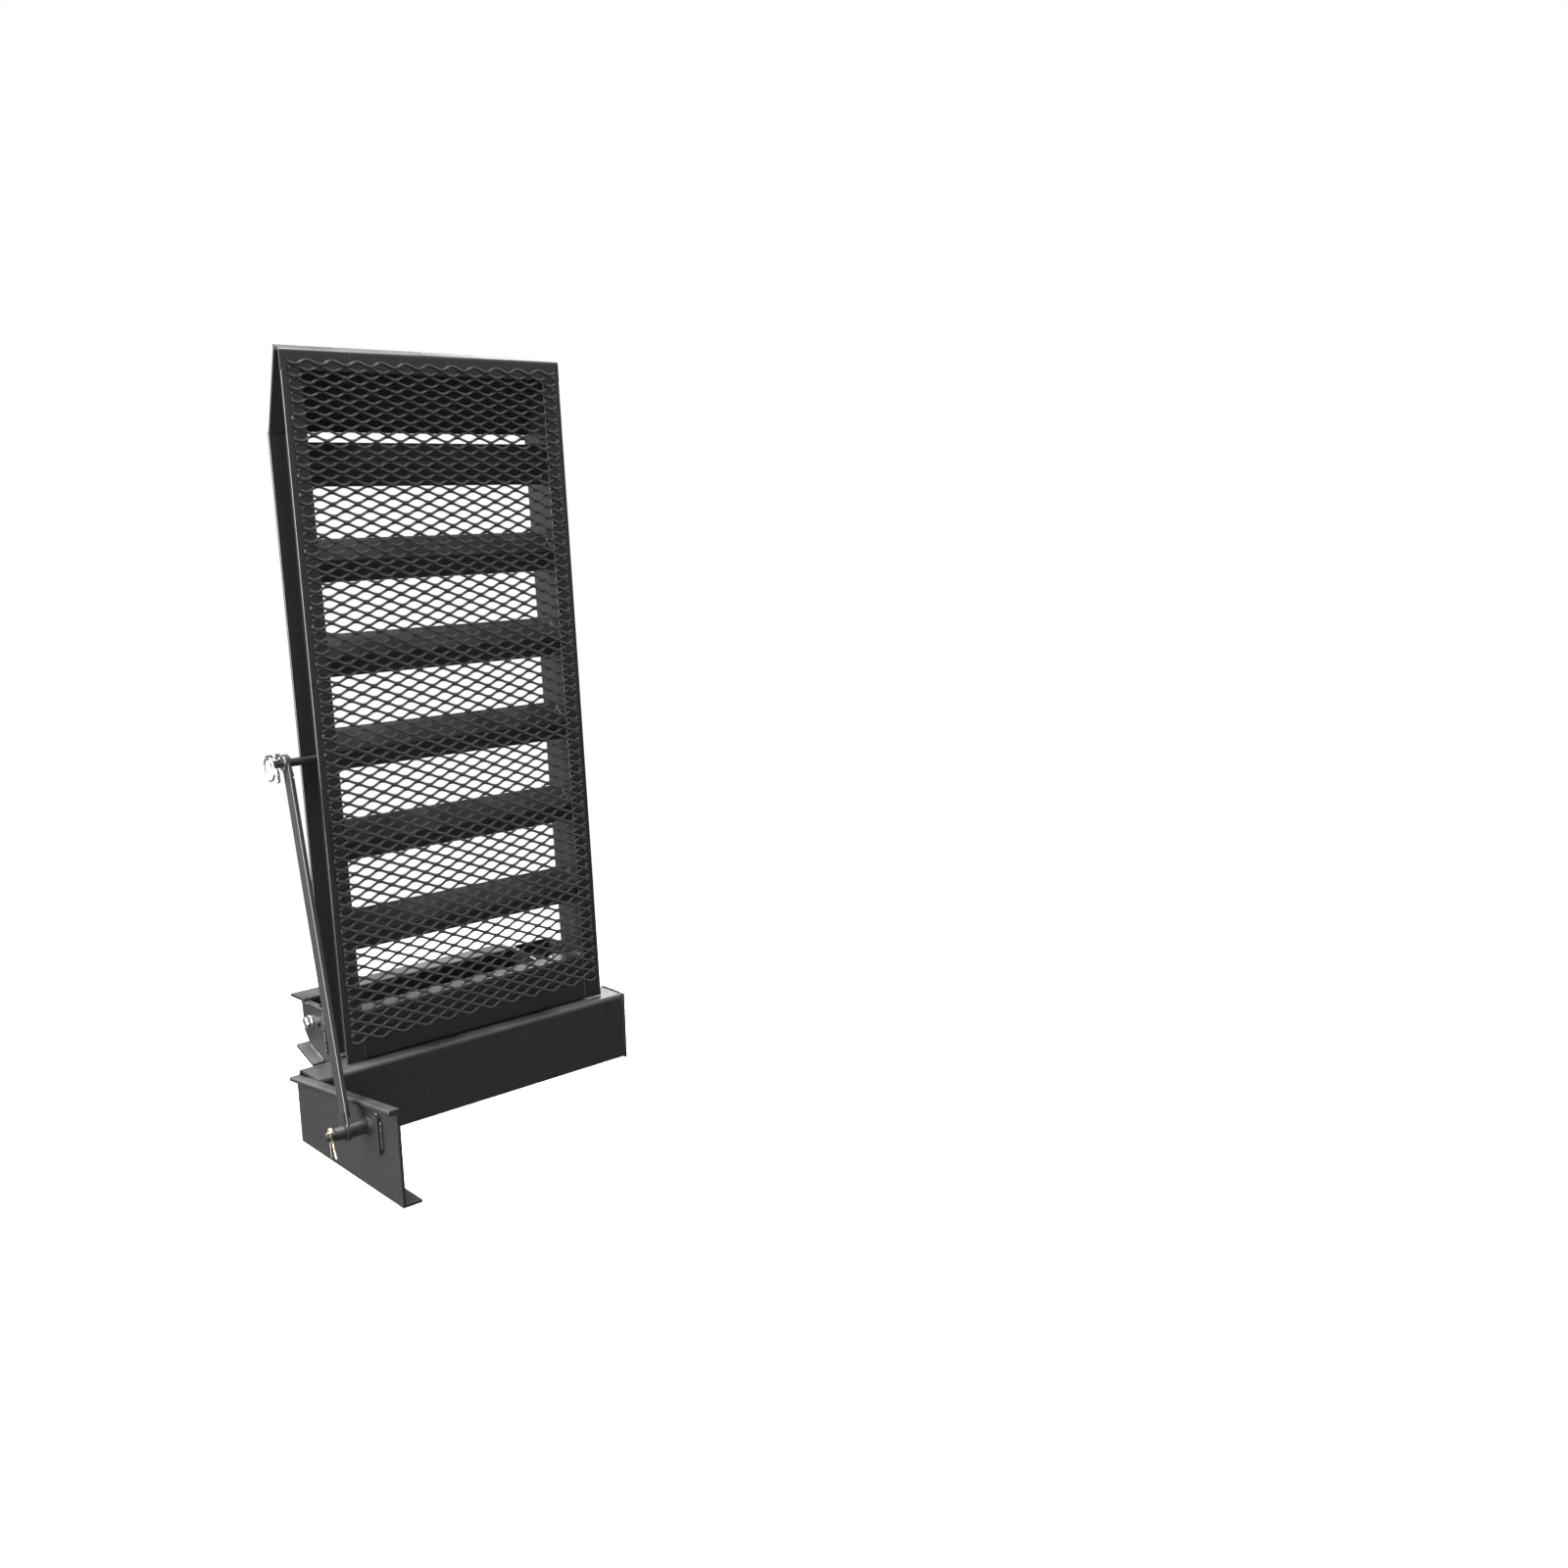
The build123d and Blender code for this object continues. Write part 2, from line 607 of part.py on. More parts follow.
def side_top(y):
    """Height of the side rail's top edge, which rises towards the front of the trailer."""
    return BEAM_TOP - SIDE_DROP + SIDE_SLOPE * (BEAM_DEPTH - y)


def side_rail():
    """Last stretch of the trailer's left side: a plate with a rounded rim along its sloped top edge."""
    front = -SIDE_FORWARD + TREAD_SETBACK
    low = -BEAM_HEIGHT / 2
    web_outline = [
        (front, low),
        (BEAM_DEPTH, low),
        (BEAM_DEPTH, side_top(BEAM_DEPTH)),
        (front, side_top(front)),
    ]
    web = slab(web_outline, (SIDE_FACE, SIDE_FACE + SIDE_T))
    rim_outline = [
        (front, side_top(front) - RIM_T),
        (BEAM_DEPTH, side_top(BEAM_DEPTH) - RIM_T),
        (BEAM_DEPTH, side_top(BEAM_DEPTH)),
        (front, side_top(front)),
    ]
    rim = slab(rim_outline, (SIDE_FACE - RIM_OUT, SIDE_FACE))
    rim = fillet(rim.edges().group_by(Axis.X)[0].filter_by(lambda edge: edge.length > SIDE_FORWARD), RIM_R)
    bottom = block((SIDE_FACE, SIDE_FACE + SIDE_FLANGE), (front, 0), (low, low + SIDE_T))
    return web + rim + bottom


def hinge_lug(x):
    """Plate from the back of the beam to the hinge line, with a round end."""
    arm = slab(
        [
            (BEAM_DEPTH, HINGE_Z - LUG_ROOT_HEIGHT / 2 - LUG_R / 2),
            (HINGE_Y, HINGE_Z - LUG_R),
            (HINGE_Y, HINGE_Z + LUG_R),
            (BEAM_DEPTH, HINGE_Z + LUG_R - LUG_TOP_DROP),
        ],
        x,
    )
    end = rod(HINGE_Y, HINGE_Z, 2 * LUG_R, x)
    return arm + end - bore(HINGE_Y, HINGE_Z, HINGE_PIN_D + 2 * HINGE_PIN_GAP, x)


def hinge_lugs(side):
    """The pair of lugs each side of one heel plate and barrel."""
    outer = span(side, HALF + LUG_SIDE_GAP, HALF + LUG_SIDE_GAP + LUG_T)
    near = HALF - HEEL_PLATE_T - HINGE_BARREL_LENGTH - LUG_SIDE_GAP
    inner = span(side, near - LUG_T, near)
    return [hinge_lug(outer), hinge_lug(inner)]


def pin_inner_end():
    """Distance of the hinge pin's inner end from the middle."""
    return HALF - HEEL_PLATE_T - HINGE_BARREL_LENGTH - LUG_SIDE_GAP - LUG_T - PIN_END


def hinge_pin(side):
    """Pin through both lugs and the barrel, headed outside and drilled for a cotter inside."""
    outer = HALF + LUG_SIDE_GAP + LUG_T
    inner = pin_inner_end()
    pin = rod(HINGE_Y, HINGE_Z, HINGE_PIN_D, span(side, inner, outer + PIN_COLLAR_T))
    head = rod(HINGE_Y, HINGE_Z, PIN_COLLAR_D, span(side, outer, outer + PIN_COLLAR_T))
    hole_x = side * (inner + COTTER_INSET)
    hole = Pos(hole_x, HINGE_Y, HINGE_Z) * Rot(90, 0, 0) * Cylinder(COTTER_D / 2, 2 * HINGE_PIN_D)
    return pin + head - hole


def hinge_washer(side):
    """Washer between the inner lug and the cotter."""
    outer = pin_inner_end() + PIN_END
    x = span(side, outer - WASHER_T, outer)
    return rod(HINGE_Y, HINGE_Z, PIN_COLLAR_D, x) - bore(HINGE_Y, HINGE_Z, HINGE_PIN_D, x)


def hinge_cotter(side):
    """Split pin through the hinge pin's inner end, with its eye towards the beam."""
    x = side * (pin_inner_end() + COTTER_INSET)
    leg = Pos(x, HINGE_Y, HINGE_Z) * Rot(90, 0, 0) * Cylinder(COTTER_D / 2, COTTER_LENGTH)
    eye_y = HINGE_Y - COTTER_LENGTH / 2 - COTTER_EYE_R + COTTER_D / 2
    eye = Pos(x, eye_y, HINGE_Z) * Rot(0, 90, 0) * Torus(COTTER_EYE_R, COTTER_D / 2)
    return leg + eye


BRACE_FOOT_X = -(HALF + BRACE_FOOT_OUT)
BRACE_TOP_X = -(HALF + BRACE_TOP_OUT)


def brace_bracket():
    """Doubler plate on the outside of the side rail, under the brace's foot."""
    y = (BRACE_FOOT_Y - BRACKET_W / 2, BRACE_FOOT_Y + BRACKET_W / 2)
    z = (BRACE_FOOT_Z - BRACKET_BELOW, BRACE_FOOT_Z + BRACKET_ABOVE)
    plate = block((SIDE_FACE - BRACKET_T, SIDE_FACE), y, z)
    return fillet(plate.edges().filter_by(Axis.X), BRACKET_T)


def foot_inner():
    """X of the brace foot eye's inboard face."""
    return BRACE_FOOT_X + BRACE_EYE_T / 2


def pivot_sleeve():
    """Spacer tube that carries the pivot pin out to the brace."""
    x = (foot_inner() + PIVOT_SIDE_GAP, SIDE_FACE - BRACKET_T)
    return rod(BRACE_FOOT_Y, BRACE_FOOT_Z, SLEEVE_D, x) - bore(BRACE_FOOT_Y, BRACE_FOOT_Z, PIVOT_D, x)


def clip_x():
    """X of the hairpin clip's plane."""
    return BRACE_FOOT_X - BRACE_EYE_T / 2 - PIVOT_SIDE_GAP - SPACER_LENGTH - CLIP_INSET


def brace_pivot_pin():
    """Pin the brace swings on, drilled near its outer end for the hairpin clip."""
    outer = BRACE_FOOT_X - BRACE_EYE_T / 2 - PIVOT_TIP
    pin = rod(BRACE_FOOT_Y, BRACE_FOOT_Z, PIVOT_D, (outer, SIDE_FACE - BRACKET_T))
    hole_z = (BRACE_FOOT_Z - PIVOT_D, BRACE_FOOT_Z + PIVOT_D)
    return pin - post(clip_x(), BRACE_FOOT_Y, CLIP_WIRE_D + 2 * CLIP_GAP, hole_z)


def pivot_spacer():
    """Short tube between the brace's foot and the clip."""
    inner = BRACE_FOOT_X - BRACE_EYE_T / 2 - PIVOT_SIDE_GAP
    x = (inner - SPACER_LENGTH, inner)
    return rod(BRACE_FOOT_Y, BRACE_FOOT_Z, SPACER_D, x) - bore(BRACE_FOOT_Y, BRACE_FOOT_Z, PIVOT_D, x)


def hairpin_clip():
    """Wire clip: a straight leg down through the pin, a loop on top and an outer leg beside the pin."""
    x = clip_x()
    top = BRACE_FOOT_Z + PIVOT_D / 2 + CLIP_ABOVE_PIN
    far_y = BRACE_FOOT_Y - CLIP_SPREAD
    bend_z = BRACE_FOOT_Z - PIVOT_D
    straight = post(x, BRACE_FOOT_Y, CLIP_WIRE_D, (BRACE_FOOT_Z - CLIP_LEG, top))
    ring = Rot(0, 90, 0) * Torus(CLIP_SPREAD / 2, CLIP_WIRE_D / 2)
    loop = Pos(x, BRACE_FOOT_Y - CLIP_SPREAD / 2, top) * ring
    over = (far_y - CLIP_SPREAD, BRACE_FOOT_Y + CLIP_SPREAD)
    upper_half = block((x - CLIP_SPREAD, x + CLIP_SPREAD), over, (top, top + CLIP_SPREAD))
    outer = post(x, far_y, CLIP_WIRE_D, (bend_z, top))
    knee = Pos(x, far_y, bend_z) * Sphere(CLIP_WIRE_D / 2)
    flare = post(0, 0, CLIP_WIRE_D, (-CLIP_LEG / 2, 0))
    flare = Pos(x, far_y, bend_z) * Rot(-CLIP_FLARE_DEG, 0, 0) * flare
    return straight + (loop & upper_half) + outer + knee + flare


def brace():
    """Angle bar from the side rail up to the ramp. Its narrow leg stops short of the eyes at its ends."""
    foot = Vector(BRACE_FOOT_X, BRACE_FOOT_Y, BRACE_FOOT_Z)
    head = Vector(BRACE_TOP_X, STUD_Y, STUD_Z)
    along = (head - foot).normalized()
    reach = math.hypot(head.Y - foot.Y, head.Z - foot.Z)
    flat_y = (head.Y - foot.Y) / reach
    flat_z = (head.Z - foot.Z) / reach
    length = (head - foot).length
    bar_plane = Plane(origin=foot, x_dir=(0, flat_z, -flat_y), z_dir=along)
    half = BRACE_LEG_WIDE / 2
    skin = BRACE_LEG_T / 2
    outline = [
        (half, skin),
        (-half, skin),
        (-half, -skin),
        (half - BRACE_LEG_T, -skin),
        (half - BRACE_LEG_T, skin - BRACE_LEG_NARROW),
        (half, skin - BRACE_LEG_NARROW),
    ]
    radii = {0: BRACE_BEND_R, 1: EDGE_R, 2: EDGE_R, 3: BEND_INNER_R, 4: EDGE_R, 5: EDGE_R}
    bar = extrude(bar_plane * rounded_section(outline, radii), amount=length)
    across = (-BRACE_LEG_WIDE, BRACE_LEG_WIDE)
    inboard = (-BRACE_LEG_WIDE, -skin)
    for along_bar in ((-BORE_OVERRUN, BRACE_END_CLEAR), (length - BRACE_END_CLEAR, length + BORE_OVERRUN)):
        bar = bar - bar_plane * block(across, inboard, along_bar)
    solid = bar + brace_eye(foot, flat_y, flat_z) + brace_eye(head, -flat_y, -flat_z)
    foot_hole = bore(foot.Y, foot.Z, PIVOT_D + 2 * PIVOT_GAP, brace_eye_x(foot))
    return solid - foot_hole - bore(head.Y, head.Z, STUD_D + 2 * STUD_EYE_GAP, brace_eye_x(head))


def brace_eye_x(centre):
    """The (low, high) faces of an eye across X."""
    return centre.X - BRACE_EYE_T / 2, centre.X + BRACE_EYE_T / 2


def brace_eye(centre, toward_y, toward_z):
    """Flat eye in a plane across X, with a tab running towards the bar."""
    side_y = -toward_z * BRACE_TAB_HALF
    side_z = toward_y * BRACE_TAB_HALF
    far_y = centre.Y + toward_y * BRACE_TAB_LENGTH
    far_z = centre.Z + toward_z * BRACE_TAB_LENGTH
    outline = [
        (centre.Y + side_y, centre.Z + side_z),
        (far_y + side_y, far_z + side_z),
        (far_y - side_y, far_z - side_z),
        (centre.Y - side_y, centre.Z - side_z),
    ]
    x = brace_eye_x(centre)
    return slab(outline, x) + rod(centre.Y, centre.Z, 2 * BRACE_EYE_R, x)


# ---- every piece by name -----------------------------------------------------------------------
ramp_parts = {
    "rail_left": [rail(-1)],
    "rail_right": [rail(1)],
    "tip_cap": [tip_cap()],
    "tip_skid_plate": [tip_skid_plate()],
    "foot_channel": [foot_channel()],
    "tread_mesh": [tread_mesh()],
    "heel_plate_left": [heel_plate(-1)],
    "heel_plate_right": [heel_plate(1)],
    "hinge_barrel_left": [hinge_barrel(-1)],
    "hinge_barrel_right": [hinge_barrel(1)],
    "heel_angle": [heel_angle()],
    "heel_inner_plate": [heel_inner_plate()],
    "heel_box_plate": [heel_box_plate()],
    "heel_tab_left": [heel_tab(-1)],
    "heel_tab_right": [heel_tab(1)],
    "heel_kick_plate": [kick_plate()],
    "heel_bolts": [heel_bolt(-1), heel_bolt(1)],
    "heel_nuts": [heel_nut(-1), heel_nut(1)],
    "brace_stud": [brace_stud()],
    "stud_pad": [stud_pad()],
    "stud_collar": [stud_collar()],
    "stud_washer": [stud_washer()],
    "linchpin": [linchpin()],
    "linchpin_ring": [linchpin_ring()],
}
inner_washer = HALF - HEEL_PLATE_T - HEEL_TAB_T - WASHER_T
ramp_parts["heel_washers"] = [heel_washer(side, near) for side in (-1, 1) for near in (HALF, inner_washer)]
for number in range(RUNG_COUNT):
    ramp_parts[f"rung_{number + 1}"] = [rung(RUNG_TOP_S - number * RUNG_PITCH)]

trailer_parts = {
    "tail_beam": [tail_beam()],
    "beam_end_cap": [beam_end_cap()],
    "side_rail": [side_rail()],
    "hinge_lugs_left": hinge_lugs(-1),
    "hinge_lugs_right": hinge_lugs(1),
    "hinge_pin_left": [hinge_pin(-1)],
    "hinge_pin_right": [hinge_pin(1)],
    "hinge_washers": [hinge_washer(-1), hinge_washer(1)],
    "hinge_cotters": [hinge_cotter(-1), hinge_cotter(1)],
    "brace_bracket": [brace_bracket()],
    "pivot_sleeve": [pivot_sleeve()],
    "brace_pivot_pin": [brace_pivot_pin()],
    "pivot_spacer": [pivot_spacer()],
    "hairpin_clip": [hairpin_clip()],
    "brace": [brace()],
}

os.makedirs("parts", exist_ok=True)
for name, solids in ramp_parts.items():
    export_step(Compound([RAMP_PLACE * s.solids()[0] for s in solids]), f"parts/{name}.step")
for name, solids in trailer_parts.items():
    export_step(Compound([s.solids()[0] for s in solids]), f"parts/{name}.step")
print("hinge line y, z", round(HINGE_Y, 3), round(HINGE_Z, 3))
print("stud y, z", round(STUD_Y, 3), round(STUD_Z, 3))
print("linchpin x", round(-linch_out(), 3), "ring pivot x", round(-linch_out() - RING_STANDOFF, 3))
print("linchpin head s", round(LINCH_HEAD_S + LINCH_HEAD_H / 2, 3))
print("clip x", round(clip_x(), 3))
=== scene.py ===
import json

import bpy
import numpy as np
from mathutils import Matrix, Vector


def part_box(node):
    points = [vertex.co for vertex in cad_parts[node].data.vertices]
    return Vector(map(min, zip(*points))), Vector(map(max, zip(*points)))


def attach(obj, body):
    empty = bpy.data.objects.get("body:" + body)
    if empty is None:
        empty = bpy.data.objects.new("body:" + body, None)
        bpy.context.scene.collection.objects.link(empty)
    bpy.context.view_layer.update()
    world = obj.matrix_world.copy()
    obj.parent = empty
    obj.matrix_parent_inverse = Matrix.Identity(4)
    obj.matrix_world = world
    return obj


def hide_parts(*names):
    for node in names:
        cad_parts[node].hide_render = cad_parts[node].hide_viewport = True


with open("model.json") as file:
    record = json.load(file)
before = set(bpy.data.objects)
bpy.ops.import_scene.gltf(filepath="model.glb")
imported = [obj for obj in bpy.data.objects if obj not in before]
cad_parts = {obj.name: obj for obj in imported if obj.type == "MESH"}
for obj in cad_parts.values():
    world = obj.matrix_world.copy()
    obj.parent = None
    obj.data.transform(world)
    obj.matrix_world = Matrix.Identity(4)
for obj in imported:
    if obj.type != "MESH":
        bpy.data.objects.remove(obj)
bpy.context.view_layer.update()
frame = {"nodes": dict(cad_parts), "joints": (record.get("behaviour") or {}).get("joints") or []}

# ---- the view ----------------------------------------------------------------------------------
# A person's eye view from over the deck, looking back past the ramp. The ramp leans a little towards the
# back, so its own directions are worked out first: across, into (behind the tread face) and up the rails.
RAIL_DEPTH = 0.086
EYE_FROM_FOOT_CORNER = Vector((-1.2369, -2.7079, 1.0648))
LOOK_WAY = Vector((0.65425, 0.73449, -0.18021))
HEAD_WAY = Vector((0.13827, 0.11810, 0.98333))
LENS_MM = 34.67
SENSOR_MM = 36.0

nodes = frame["nodes"]
joints = {joint["name"]: joint for joint in frame["joints"]}
ramp_up = np.array(joints["linchpin_pull"]["axis"])
ramp_into = np.array([0.0, ramp_up[2], -ramp_up[1]])
rail_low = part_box("rail_left")[0]
ramp_foot = np.array([0.0, rail_low.y, rail_low.z + RAIL_DEPTH * ramp_up[1]])
HALF_WIDTH = -rail_low.x


def on_ramp(across, into, up):
    """Points of the ramp: the foot plus each distance times its own direction."""
    across, into, up = np.broadcast_arrays(across, into, up)
    x_way = np.array([1.0, 0.0, 0.0])
    return ramp_foot + across[..., None] * x_way + into[..., None] * ramp_into + up[..., None] * ramp_up


def ramp_box(name):
    """Lowest and highest (across, into, up) of a CAD node, from its corners dotted with the ramp's ways."""
    corners = np.empty(len(nodes[name].data.vertices) * 3)
    nodes[name].data.vertices.foreach_get("co", corners)
    away = corners.reshape(-1, 3) - ramp_foot
    along = np.column_stack([away[:, 0], away @ ramp_into, away @ ramp_up])
    return along.min(axis=0), along.max(axis=0)


camera_data = bpy.data.cameras.new("camera")
camera_data.lens = LENS_MM
camera_data.sensor_width = SENSOR_MM
camera = bpy.data.objects.new("camera", camera_data)
bpy.context.scene.collection.objects.link(camera)
right_way = LOOK_WAY.cross(HEAD_WAY).normalized()
level_up = right_way.cross(LOOK_WAY).normalized()
turn = Matrix((right_way, level_up, -LOOK_WAY.normalized())).transposed().to_4x4()
foot_corner = Vector(on_ramp(-HALF_WIDTH, 0.0, 0.0).tolist())
camera.matrix_world = Matrix.Translation(foot_corner + EYE_FROM_FOOT_CORNER) @ turn
bpy.context.scene.camera = camera

# ---- rails and tip -----------------------------------------------------------------------------
# Two hot-rolled channels with their flanges outward, cut to a taper at the top, with a bent plate over the
# tip and a skid plate across the taper. All of it is sprayed with black enamel after welding.
ENAMEL_BLACK = 0.0095
# The next grey serves both the dust flecks and the painted light on surfaces that face up.
ENAMEL_DUST_AND_TOP_LIGHT = 0.085
ENAMEL_IOR = 1.50
ENAMEL_SPECULAR = 0.50
PRIMER_GREY = 0.11
PEEL_SIZE, PEEL_HEIGHT, PEEL_SHARE = 0.0016, 0.00012, 0.30
WAVE_SIZE, WAVE_HEIGHT, WAVE_SHARE = 0.024, 0.0011, 0.28
MOTTLE_SIZE, MOTTLE_ROUGH = 0.110, 0.14
# Where a surface faces up, and in which patches, it is painted lighter as painted light from above; the next
# roughness goes with that painted light and with the dust flecks.
TOP_LIGHT_FACING = (0.30, 0.95)
TOP_LIGHT_PATCHES = (0.30, 0.72)
TOP_LIGHT_AND_DUST_ROUGH = 0.30
FLECK_SIZE, FLECK_SHARE = 0.0011, 0.18
FLECK_PATCHES = (0.68, 0.76)
SCRAPE_SIZE, SCRAPE_STRETCH = 0.010, (1.0, 1.0, 5.0)
SCRAPE_START, SCRAPE_END, SCRAPE_SPREAD = 0.74, 0.80, 0.2
SCRAPE_ROUGH = 0.25
ROUGHEST = 0.9
MOTTLE_MIDDLE = 0.06


class Reading:
    """A value that a shader node gives out. Arithmetic on it adds Math nodes."""

    def __init__(self, tree, socket):
        self.tree = tree
        self.socket = socket

    def maths(self, operation, left, right):
        node = self.tree.nodes.new("ShaderNodeMath")
        node.operation = operation
        for slot, term in zip(node.inputs, (left, right)):
            if isinstance(term, Reading):
                self.tree.links.new(term.socket, slot)
            else:
                slot.default_value = term
        return Reading(self.tree, node.outputs[0])

    def __add__(self, other):
        return self.maths("ADD", self, other)

    __radd__ = __add__

    def __mul__(self, other):
        return self.maths("MULTIPLY", self, other)

    __rmul__ = __mul__

    def at_most(self, ceiling):
        return self.maths("MINIMUM", self, ceiling)


class Bench:
    """A node tree that is built up from nothing."""

    def __init__(self, tree):
        self.tree = tree
        tree.nodes.clear()

    def node(self, kind, settings=None, sockets=None, out=0):
        """A node of one type: its settings first, then its sockets' values or links. Gives one output."""
        node = self.tree.nodes.new(kind)
        for key, value in (settings or {}).items():
            setattr(node, key, value)
        for key, value in (sockets or {}).items():
            if isinstance(value, Reading):
                self.tree.links.new(value.socket, node.inputs[key])
            else:
                node.inputs[key].default_value = value
        return Reading(self.tree, node.outputs[out]) if node.outputs else None


class Finish(Bench):
    """One material, whose patterns are laid on the piece's own coordinates."""

    def __init__(self, name):
        self.material = bpy.data.materials.new(name)
        self.material.use_nodes = True
        super().__init__(self.material.node_tree)
        self.place = self.node("ShaderNodeTexCoord", out="Object")

    def clouds(self, size, detail=2.0, stretch=(1.0, 1.0, 1.0)):
        """Cloud noise, 0 to 1, with blobs about size metres across, pulled out along an axis by stretch."""
        squeeze = [1.0 / factor for factor in stretch]
        place = self.node("ShaderNodeMapping", {}, {"Vector": self.place, "Scale": squeeze})
        return self.node("ShaderNodeTexNoise", {}, {"Vector": place, "Scale": 1.0 / size, "Detail": detail})

    def step(self, value, start, end):
        """0 below start, 1 above end, and a straight climb between."""
        return self.node("ShaderNodeMapRange", {}, {"Value": value, "From Min": start, "From Max": end})

    def blend_colour(self, mask, first, second):
        """The first colour where the mask is 0 and the second where it is 1."""
        return self.node("ShaderNodeMix", {"data_type": "RGBA"}, {0: mask, 6: first, 7: second}, out=2)

    def bump(self, height, distance, strength, under=None):
        """A normal tilted as if the surface rose by height times distance in metres."""
        sockets = {"Height": height, "Distance": distance, "Strength": strength}
        if under is not None:
            sockets["Normal"] = under
        return self.node("ShaderNodeBump", {}, sockets)

    def facing(self, axis):
        """How far the piece's own surface faces along one of its axes, -1 to 1."""
        normal = self.node("ShaderNodeTexCoord", out="Normal")
        return self.node("ShaderNodeSeparateXYZ", {}, {"Vector": normal}, out=axis)

    def surface(self, **sockets):
        """The material, with its Principled shader's sockets set and joined to the output."""
        named = {key.replace("_", " "): value for key, value in sockets.items()}
        shader = self.node("ShaderNodeBsdfPrincipled", {}, named)
        self.node("ShaderNodeOutputMaterial", {}, {"Surface": shader})
        return self.material


def grey(level):
    """A faintly cool grey."""
    return (level, level, level * 1.03, 1.0)


def enamel(name, gloss, dust_and_top_light, ripple=1.0, rubbed=0.0):
    """Black enamel on hot-rolled steel. Surfaces that face up are lightened in mottled patches, a painted
    light from above, and small flecks of dust lie anywhere; roughness is the gloss figure plus soft mottling
    and plus the painted light and dust; the normal is orange peel over slow waviness; the rubbed share shows
    dull primer in small scrapes."""
    paint = Finish(name)
    peel = paint.clouds(PEEL_SIZE, detail=1.0)
    waves = paint.clouds(WAVE_SIZE, detail=2.0)
    mottle = paint.clouds(MOTTLE_SIZE, detail=5.0)
    flecks = paint.clouds(FLECK_SIZE, detail=0.0)
    scratch = paint.clouds(SCRAPE_SIZE, detail=6.0, stretch=SCRAPE_STRETCH)
    # Painted light: surfaces that face up get a lighter coat in mottled patches, standing in for light from
    # above; real dust flecks are added anywhere.
    painted_top_light = paint.step(paint.facing("Z"), *TOP_LIGHT_FACING) * paint.step(mottle, *TOP_LIGHT_PATCHES) * dust_and_top_light
    top_light_and_dust_mask = (painted_top_light + paint.step(flecks, *FLECK_PATCHES) * dust_and_top_light * FLECK_SHARE).at_most(1.0)
    scrape = paint.step(scratch, SCRAPE_START - rubbed * SCRAPE_SPREAD, SCRAPE_END) * rubbed
    coat = paint.blend_colour(top_light_and_dust_mask, grey(ENAMEL_BLACK), grey(ENAMEL_DUST_AND_TOP_LIGHT))
    coat = paint.blend_colour(scrape, coat, grey(PRIMER_GREY))
    rough = mottle * MOTTLE_ROUGH + (gloss - MOTTLE_MIDDLE) + top_light_and_dust_mask * TOP_LIGHT_AND_DUST_ROUGH + scrape * SCRAPE_ROUGH
    peeled = paint.bump(peel, PEEL_HEIGHT, PEEL_SHARE)
    return paint.surface(
        Base_Color=coat,
        Roughness=rough.at_most(ROUGHEST),
        Normal=paint.bump(waves, WAVE_HEIGHT * ripple, WAVE_SHARE, under=peeled),
        IOR=ENAMEL_IOR,
        Specular_IOR_Level=ENAMEL_SPECULAR,
    )


def paint_nodes(finish, *names):
    """Puts one finish on the CAD nodes."""
    for name in names:
        nodes[name].data.materials.clear()
        nodes[name].data.materials.append(finish)


paint_nodes(enamel("rail_enamel", gloss=0.24, dust_and_top_light=0.30), "rail_left", "rail_right", "foot_channel")
paint_nodes(enamel("tip_enamel", gloss=0.22, dust_and_top_light=0.45, rubbed=0.35), "tip_cap", "tip_skid_plate")

# ---- rungs -------------------------------------------------------------------------------------
# Six lengths of angle iron, ridge to the front, welded to the rail webs along both legs. The steel is
# hot rolled, so its skin is a little coarser under the enamel, and each weld is a rippled fillet bead.
RUNGS = [f"rung_{number}" for number in range(1, 7)]
LEG_STOP = 0.004
OFF_WEB = 0.001
OFF_RIDGE = 0.002
BEAD_R = 0.0034
BEAD_RIPPLE = 0.0034
BEAD_SIDES = 8
RINGS_A_RIPPLE = 4
BEAD_BODY, BEAD_CREST = 0.92, 0.14
BEAD_WANDER = ((0.06, 210.0, 900.0), (0.04, 530.0, 0.0))
BEAD_END_LENGTH, BEAD_END_SHARE = 1.2, 0.35
paint_nodes(enamel("rung_enamel", gloss=0.30, dust_and_top_light=0.38, ripple=1.8), *RUNGS)
weld_enamel = enamel("weld_enamel", gloss=0.26, dust_and_top_light=0.25, ripple=0.6)


def closed_piece(name, tubes, body, finish, stands_for=(), crease=35.0):
    """A mesh of closed tubes. A tube is rings of points (ring, side, xyz): quads join each ring to the next
    and a flat face closes each end, or the last ring joins the first. A tube whose volume, the sum of
    a . (b x c) over its faces, comes out negative is turned inside out."""
    points, faces, start = [], [], 0
    for rings, loop in tubes:
        count, sides = rings.shape[:2]
        ring = np.arange(count if loop else count - 1)[:, None] * sides
        next_ring = (ring + sides) % (count * sides)
        side = np.arange(sides)[None, :]
        after = (side + 1) % sides
        quads = np.stack([ring + side, ring + after, next_ring + after, next_ring + side], -1).reshape(-1, 4)
        flat = rings.reshape(-1, 3)
        centred = flat - flat.mean(axis=0)
        a, b, c, d = (centred[quads[:, corner]] for corner in range(4))
        outward = np.einsum("ij,ij->", a, np.cross(b, c) + np.cross(c, d)) > 0
        own = quads.tolist()
        if not loop:
            own += [list(range(sides))[::-1], list(range((count - 1) * sides, count * sides))]
        points.append(flat)
        faces += [[start + corner for corner in (face if outward else face[::-1])] for face in own]
        start += len(flat)
    mesh = bpy.data.meshes.new(name)
    mesh.from_pydata(np.concatenate(points).tolist(), [], faces)
    mesh.polygons.foreach_set("use_smooth", np.ones(len(mesh.polygons), dtype=bool))
    mesh.set_sharp_from_angle(angle=np.radians(crease))
    mesh.materials.append(finish)
    piece = bpy.data.objects.new(name, mesh)
    bpy.context.scene.collection.objects.link(piece)
    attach(piece, body)
    if stands_for:
        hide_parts(*stands_for)


